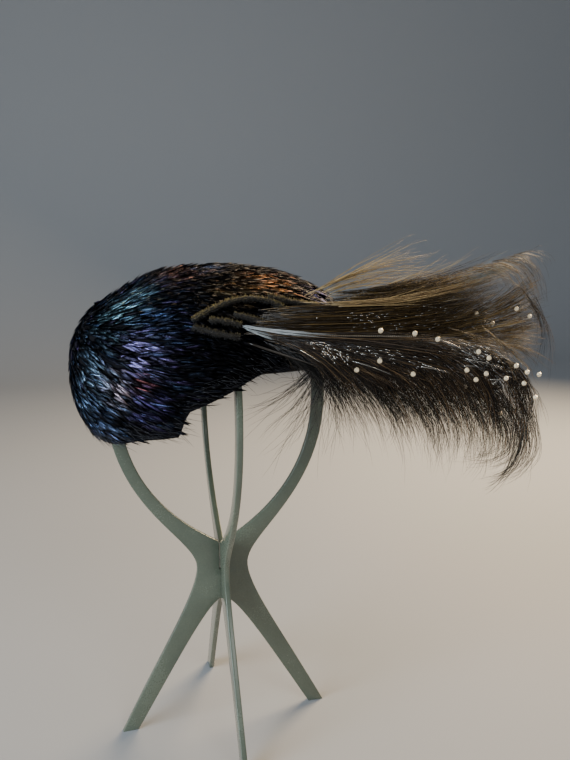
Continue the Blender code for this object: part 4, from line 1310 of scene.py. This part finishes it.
class HatLook(bpy.types.PropertyGroup):
    feathers: bpy.props.IntProperty(
        name="Feathers",
        description="How many feathers a whole ovoid would carry",
        default=11500,
        min=500,
        max=20000,
    )
    feather_length: length_property(
        name="Feather length", description="Mean length of a short feather", default=0.0160
    )
    feather_width: length_property(
        name="Feather width", description="Mean width of a short feather", default=0.0034
    )
    hair_radius: length_property(
        name="Hair radius", description="Radius of a fine hair at the hem", default=0.00016
    )
    pole_tilt: angle_property(
        name="Flow tilt",
        description="Lean of the axis that the feathers radiate from",
        default=-1.36,
    )
    pole_turn: angle_property(
        name="Flow turn", description="Turn of that axis about the stand's axis", default=-0.32
    )
    stem_radius: length_property(
        name="Stem radius", description="Outer radius of a fuzzy stem", default=0.0025
    )
    fuzz: bpy.props.FloatProperty(
        name="Fuzz density",
        description="Fibres for each metre of stem",
        default=24000.0,
        min=1000.0,
        max=90000.0,
    )


class PlumeLook(bpy.types.PropertyGroup):
    strand_thickness: bpy.props.FloatProperty(
        name="Strand thickness",
        description="Factor on the thickness of every strand",
        default=1.0,
        min=0.3,
        max=3.0,
        subtype="FACTOR",
    )
    glitter_length: length_property(
        name="Glitter length", description="Mean length of a short foil fibre", default=0.0026
    )
    bead_size: length_property(
        name="Bead size", description="Width across a seed bead", default=0.00062
    )


class StageLook(bpy.types.PropertyGroup):
    floor_colour: colour_property(
        name="Floor",
        description="Colour of the plain floor and backdrop",
        default=(0.37, 0.38, 0.39),
    )
    cool_power: power_property(
        name="Cool light", description="Power of the soft light on the left", default=40.0
    )
    warm_power: power_property(
        name="Warm light", description="Power of the soft light behind on the right", default=36.0
    )


def finish_piece(item, slot, *nodes):
    """Puts a piece on the body and hides the solids that it stands for; the slot is not used."""
    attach(item, "root")
    if nodes:
        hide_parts(*nodes)


class HAT_OT_stand(bpy.types.Operator):
    """Build the two moulded plates of the stand"""

    bl_idname = "hat.stand"
    bl_label = "Stand Plates"

    def execute(self, context):
        look = context.scene.hat_stand
        plastic = grainy_material(
            "Sage Plastic", look.dark, look.pale, 900.0, (0.18, 0.32), (0.10, 0.0002),
            Coat_Weight=0.6, Coat_Roughness=0.15,
        )
        for plate in ("wide", "cross"):
            piece = stand_plate(f"{plate}_plate", plate == "cross", look, plastic)
            finish_piece(piece, "sage_plastic", f"stand_plate_{plate}")
        return {"FINISHED"}


class HAT_OT_cap(bpy.types.Operator):
    """Build the thin felt cap under the feathers"""

    bl_idname = "hat.cap"
    bl_label = "Felt Cap"

    def execute(self, context):
        felt = grainy_material(
            "Black Felt", (0.006, 0.006, 0.007), (0.022, 0.022, 0.026), 1400.0,
            (0.85, 1.0), (0.5, 0.0006), Sheen_Weight=0.35, Sheen_Roughness=0.5,
        )
        points, faces = cap_wall(COVER_DEPTH + FELT_CLEARANCE, FELT_WALL, 0.0)
        cap = add_mesh("felt_cap", points, faces, felt)
        finish_piece(cap, "black_felt", "cap_shell")
        return {"FINISHED"}


class HAT_OT_cover(bpy.types.Operator):
    """Build the skin of short overlapping feathers"""

    bl_idname = "hat.cover"
    bl_label = "Feather Cover"

    def execute(self, context):
        look = context.scene.hat_cover
        backing = grainy_material(
            "Feather Backing", (0.002, 0.002, 0.003), (0.005, 0.005, 0.007), 900.0,
            (0.85, 1.0), (0.4, 0.0005), Specular_IOR_Level=0.15,
        )
        points, faces = cap_wall(BACKING_INSET, BACKING_WALL, BACKING_DROP)
        skin = add_mesh("feather_backing", points, faces, backing)
        finish_piece(skin, "dark_feathers", "feather_cover")
        vanes = strand_material(
            "Iridescent Feathers", 0.30, 0.45, 120.0, (0.30, 0.0002), Roughness=0.25,
            Metallic=0.80, Specular_Tint=(0.30, 0.30, 0.36, 1), Coat_Weight=0.08,
            Coat_Roughness=0.15,
        )
        for name, near in (("near_feathers", True), ("far_feathers", False)):
            rng = np.random.default_rng(SEEDS[name])
            layer = feather_layer(name, look, rng, near, vanes)
            finish_piece(layer, "dark_feathers", "feather_cover")
        down = strand_material("Dark Down", 0.8, 0.8, 20.0, (0.05, 0.0001), Roughness=0.40)
        hairs = hem_hairs(look, np.random.default_rng(SEEDS["hem_hairs"]), down)
        finish_piece(hairs, "dark_feathers", "feather_cover")
        return {"FINISHED"}


class HAT_OT_stems(bpy.types.Operator):
    """Build the fuzzy stems on the near side"""

    bl_idname = "hat.stems"
    bl_label = "Fuzzy Stems"

    def execute(self, context):
        look = context.scene.hat_cover
        fuzz = strand_material(
            "Olive Fuzz", 0.35, 0.7, 10.0, (0.1, 0.0002),
            Roughness=0.75, Sheen_Weight=0.08, Sheen_Roughness=0.4,
        )
        for number, stem in enumerate(STEMS, start=1):
            rng = np.random.default_rng(SEEDS["stems"] + number)
            piece = fuzzy_stem(f"chenille_stem_{number}", stem, look, rng, fuzz)
            finish_piece(piece, "olive_fuzz", f"fuzzy_stem_{number}")
        return {"FINISHED"}


class HAT_OT_plumes(bpy.types.Operator):
    """Build the plumes, barb by barb"""

    bl_idname = "hat.plumes"
    bl_label = "Plumes"

    def execute(self, context):
        look = context.scene.hat_plume
        barbs = strand_material(
            "Plume Barbs", 0.65, 0.75, 30.0, (0.1, 0.0002),
            Roughness=0.26, Specular_IOR_Level=0.55,
        )
        for number, quill in enumerate(QUILLS):
            rng = np.random.default_rng(SEEDS["plumes"] + number)
            piece = plume_piece(quill, look, rng, barbs)
            finish_piece(piece, "plume_barbs", quill)
        return {"FINISHED"}


class HAT_OT_glitter(bpy.types.Operator):
    """Build the foil fibres and the row of seed beads on the plume"""

    bl_idname = "hat.glitter"
    bl_label = "Glitter"

    def execute(self, context):
        look = context.scene.hat_plume
        foil = strand_material(
            "Foil Fibre", 1.0, 0.85, 20.0, (0.05, 0.0001), Roughness=0.25, Metallic=0.85
        )
        rng = np.random.default_rng(SEEDS["glitter"])
        finish_piece(glitter_fibres(look, rng, foil), "crystal")
        beads = grainy_material(
            "Seed Beads", (0.16, 0.13, 0.09), (0.40, 0.34, 0.25), 2500.0, (0.15, 0.25),
            (0.05, 0.0001), Coat_Weight=0.6, Coat_Roughness=0.1,
        )
        finish_piece(bead_row(look, beads), "crystal")
        return {"FINISHED"}


class HAT_OT_stones(bpy.types.Operator):
    """Finish the faceted rhinestones"""

    bl_idname = "hat.stones"
    bl_label = "Rhinestones"

    def execute(self, context):
        # Painted glow: a warm emission makes the stones shine like lit glints, though they are no
        # lamps.
        material, tree, shader = new_material(
            "Foiled Crystal Painted Glow", Metallic=0.70, Roughness=0.12, Coat_Weight=1.0,
            Coat_Roughness=0.03, Emission_Color=(1.0, 0.84, 0.58, 1), Emission_Strength=0.34,
        )
        place = add_node(tree, "TexCoord", {}).outputs["Object"]
        noise = add_node(tree, "TexNoise", {"Vector": place, "Scale": 500.0}).outputs[0]
        ends = {0: noise, 6: (0.98, 0.86, 0.62, 1), 7: (0.82, 0.66, 0.42, 1)}
        blend = add_node(tree, "Mix", ends, data_type="RGBA")
        feed(tree, shader, {"Base Color": blend.outputs[2]})
        for name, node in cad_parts.items():
            if name.startswith("rhinestone"):
                for spot in node.material_slots:
                    spot.material = material
        return {"FINISHED"}


def area_light(name, place, size, power, colour):
    """A soft square light at a place, turned to the hat."""
    data = bpy.data.lights.new(name, "AREA")
    data.shape = "SQUARE"
    data.size = size
    data.energy = power
    data.color = colour
    item = add_object(name, data)
    item.location = Vector(place)
    facing = Vector(LIGHT_TARGET) - Vector(place)
    item.rotation_euler = facing.to_track_quat("-Z", "Y").to_euler()


def backdrop(settings):
    """Floor and wall in one: a profile of floor, quarter round and wall carried along X."""
    bend = np.linspace(0.0, np.pi / 2, 16)
    floor = [(-FLOOR_SIDE, 0.0), (-4.0, 0.0), (0.0, 0.0)]
    round_part = np.stack(
        (FLOOR_DEPTH + WALL_BEND * np.sin(bend), WALL_BEND * (1 - np.cos(bend))), axis=1
    )
    wall = [(FLOOR_DEPTH + WALL_BEND, WALL_TOP)]
    profile = np.concatenate((floor, round_part, wall))
    sides = np.linspace(-FLOOR_SIDE, FLOOR_SIDE, 19)
    points = np.empty((len(profile), len(sides), 3))
    points[..., 0] = sides
    points[..., 1:] = profile[:, None]
    points[..., 2] -= FLOOR_GAP
    quads = grid_quads(len(profile), len(sides))
    base = (*settings.floor_colour, 1)
    material = new_material("Plain Floor", Roughness=0.7, Base_Color=base)[0]
    return add_mesh("floor", points.reshape(-1, 3), [quads], material)


def add_camera():
    """The camera of the photograph, from its place, aim, roll and lens."""
    data = bpy.data.cameras.new("camera")
    data.sensor_fit = "VERTICAL"
    data.sensor_height = CAMERA_SENSOR
    data.lens = CAMERA_LENS
    data.clip_start = CAMERA_NEAR
    item = add_object("camera", data)
    forward = Vector(CAMERA_AIM).normalized()
    right = forward.cross(Vector((0, 0, 1))).normalized()
    up = right.cross(forward)
    turn = Matrix.Rotation(CAMERA_ROLL, 3, -forward)
    axes = Matrix((turn @ right, turn @ up, -forward)).transposed()
    place = Matrix.Translation(Vector(CAMERA_PLACE) + Vector(STAND_AXIS))
    item.matrix_world = place @ axes.to_4x4()
    bpy.context.scene.camera = item


class HAT_OT_stage(bpy.types.Operator):
    """Add the plain floor, the soft lights and the camera"""

    bl_idname = "hat.stage"
    bl_label = "Stage"

    def execute(self, context):
        look = context.scene.hat_stage
        backdrop(look)
        world = bpy.data.worlds.new("soft_grey")
        world.use_nodes = True
        sky = world.node_tree.nodes["Background"]
        feed(world.node_tree, sky, {"Color": SKY_COLOUR, "Strength": SKY_STRENGTH})
        bpy.context.scene.world = world
        area_light("cool_left", (-1.5, -0.7, 0.75), 1.1, look.cool_power, (0.80, 0.90, 1.0))
        area_light("warm_right", (0.85, 0.75, 0.95), 0.8, look.warm_power, (1.0, 0.76, 0.48))
        area_light("front_fill", (0.5, -1.9, 1.5), 1.0, FILL_POWER, (1.0, 0.97, 0.93))
        add_camera()
        return {"FINISHED"}


OPERATORS = (
    HAT_OT_stand, HAT_OT_cap, HAT_OT_cover, HAT_OT_stems,
    HAT_OT_plumes, HAT_OT_glitter, HAT_OT_stones, HAT_OT_stage,
)


class HAT_PT_pieces(bpy.types.Panel):
    """Lists the steps that build the hat"""

    bl_idname = "HAT_PT_pieces"
    bl_label = "Feathered Cocktail Hat"
    bl_space_type = "VIEW_3D"
    bl_region_type = "UI"
    bl_category = "Hat"

    def draw(self, context):
        for operator in OPERATORS:
            self.layout.operator(operator.bl_idname)


GROUPS = (
    ("hat_stand", StandLook),
    ("hat_cover", HatLook),
    ("hat_plume", PlumeLook),
    ("hat_stage", StageLook),
)


def register():
    """Adds the property groups, the operators and the panel."""
    for name, group in GROUPS:
        bpy.utils.register_class(group)
        setattr(bpy.types.Scene, name, bpy.props.PointerProperty(type=group))
    for operator in OPERATORS:
        bpy.utils.register_class(operator)
    bpy.utils.register_class(HAT_PT_pieces)


def unregister():
    """Takes them out again, last first."""
    bpy.utils.unregister_class(HAT_PT_pieces)
    for operator in reversed(OPERATORS):
        bpy.utils.unregister_class(operator)
    for name, group in reversed(GROUPS):
        delattr(bpy.types.Scene, name)
        bpy.utils.unregister_class(group)


def main():
    """Registers the add-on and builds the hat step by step."""
    register()
    bpy.ops.hat.stand()
    bpy.ops.hat.cap()
    bpy.ops.hat.cover()
    bpy.ops.hat.stems()
    bpy.ops.hat.plumes()
    bpy.ops.hat.glitter()
    bpy.ops.hat.stones()
    bpy.ops.hat.stage()


if __name__ == "__main__":
    main()
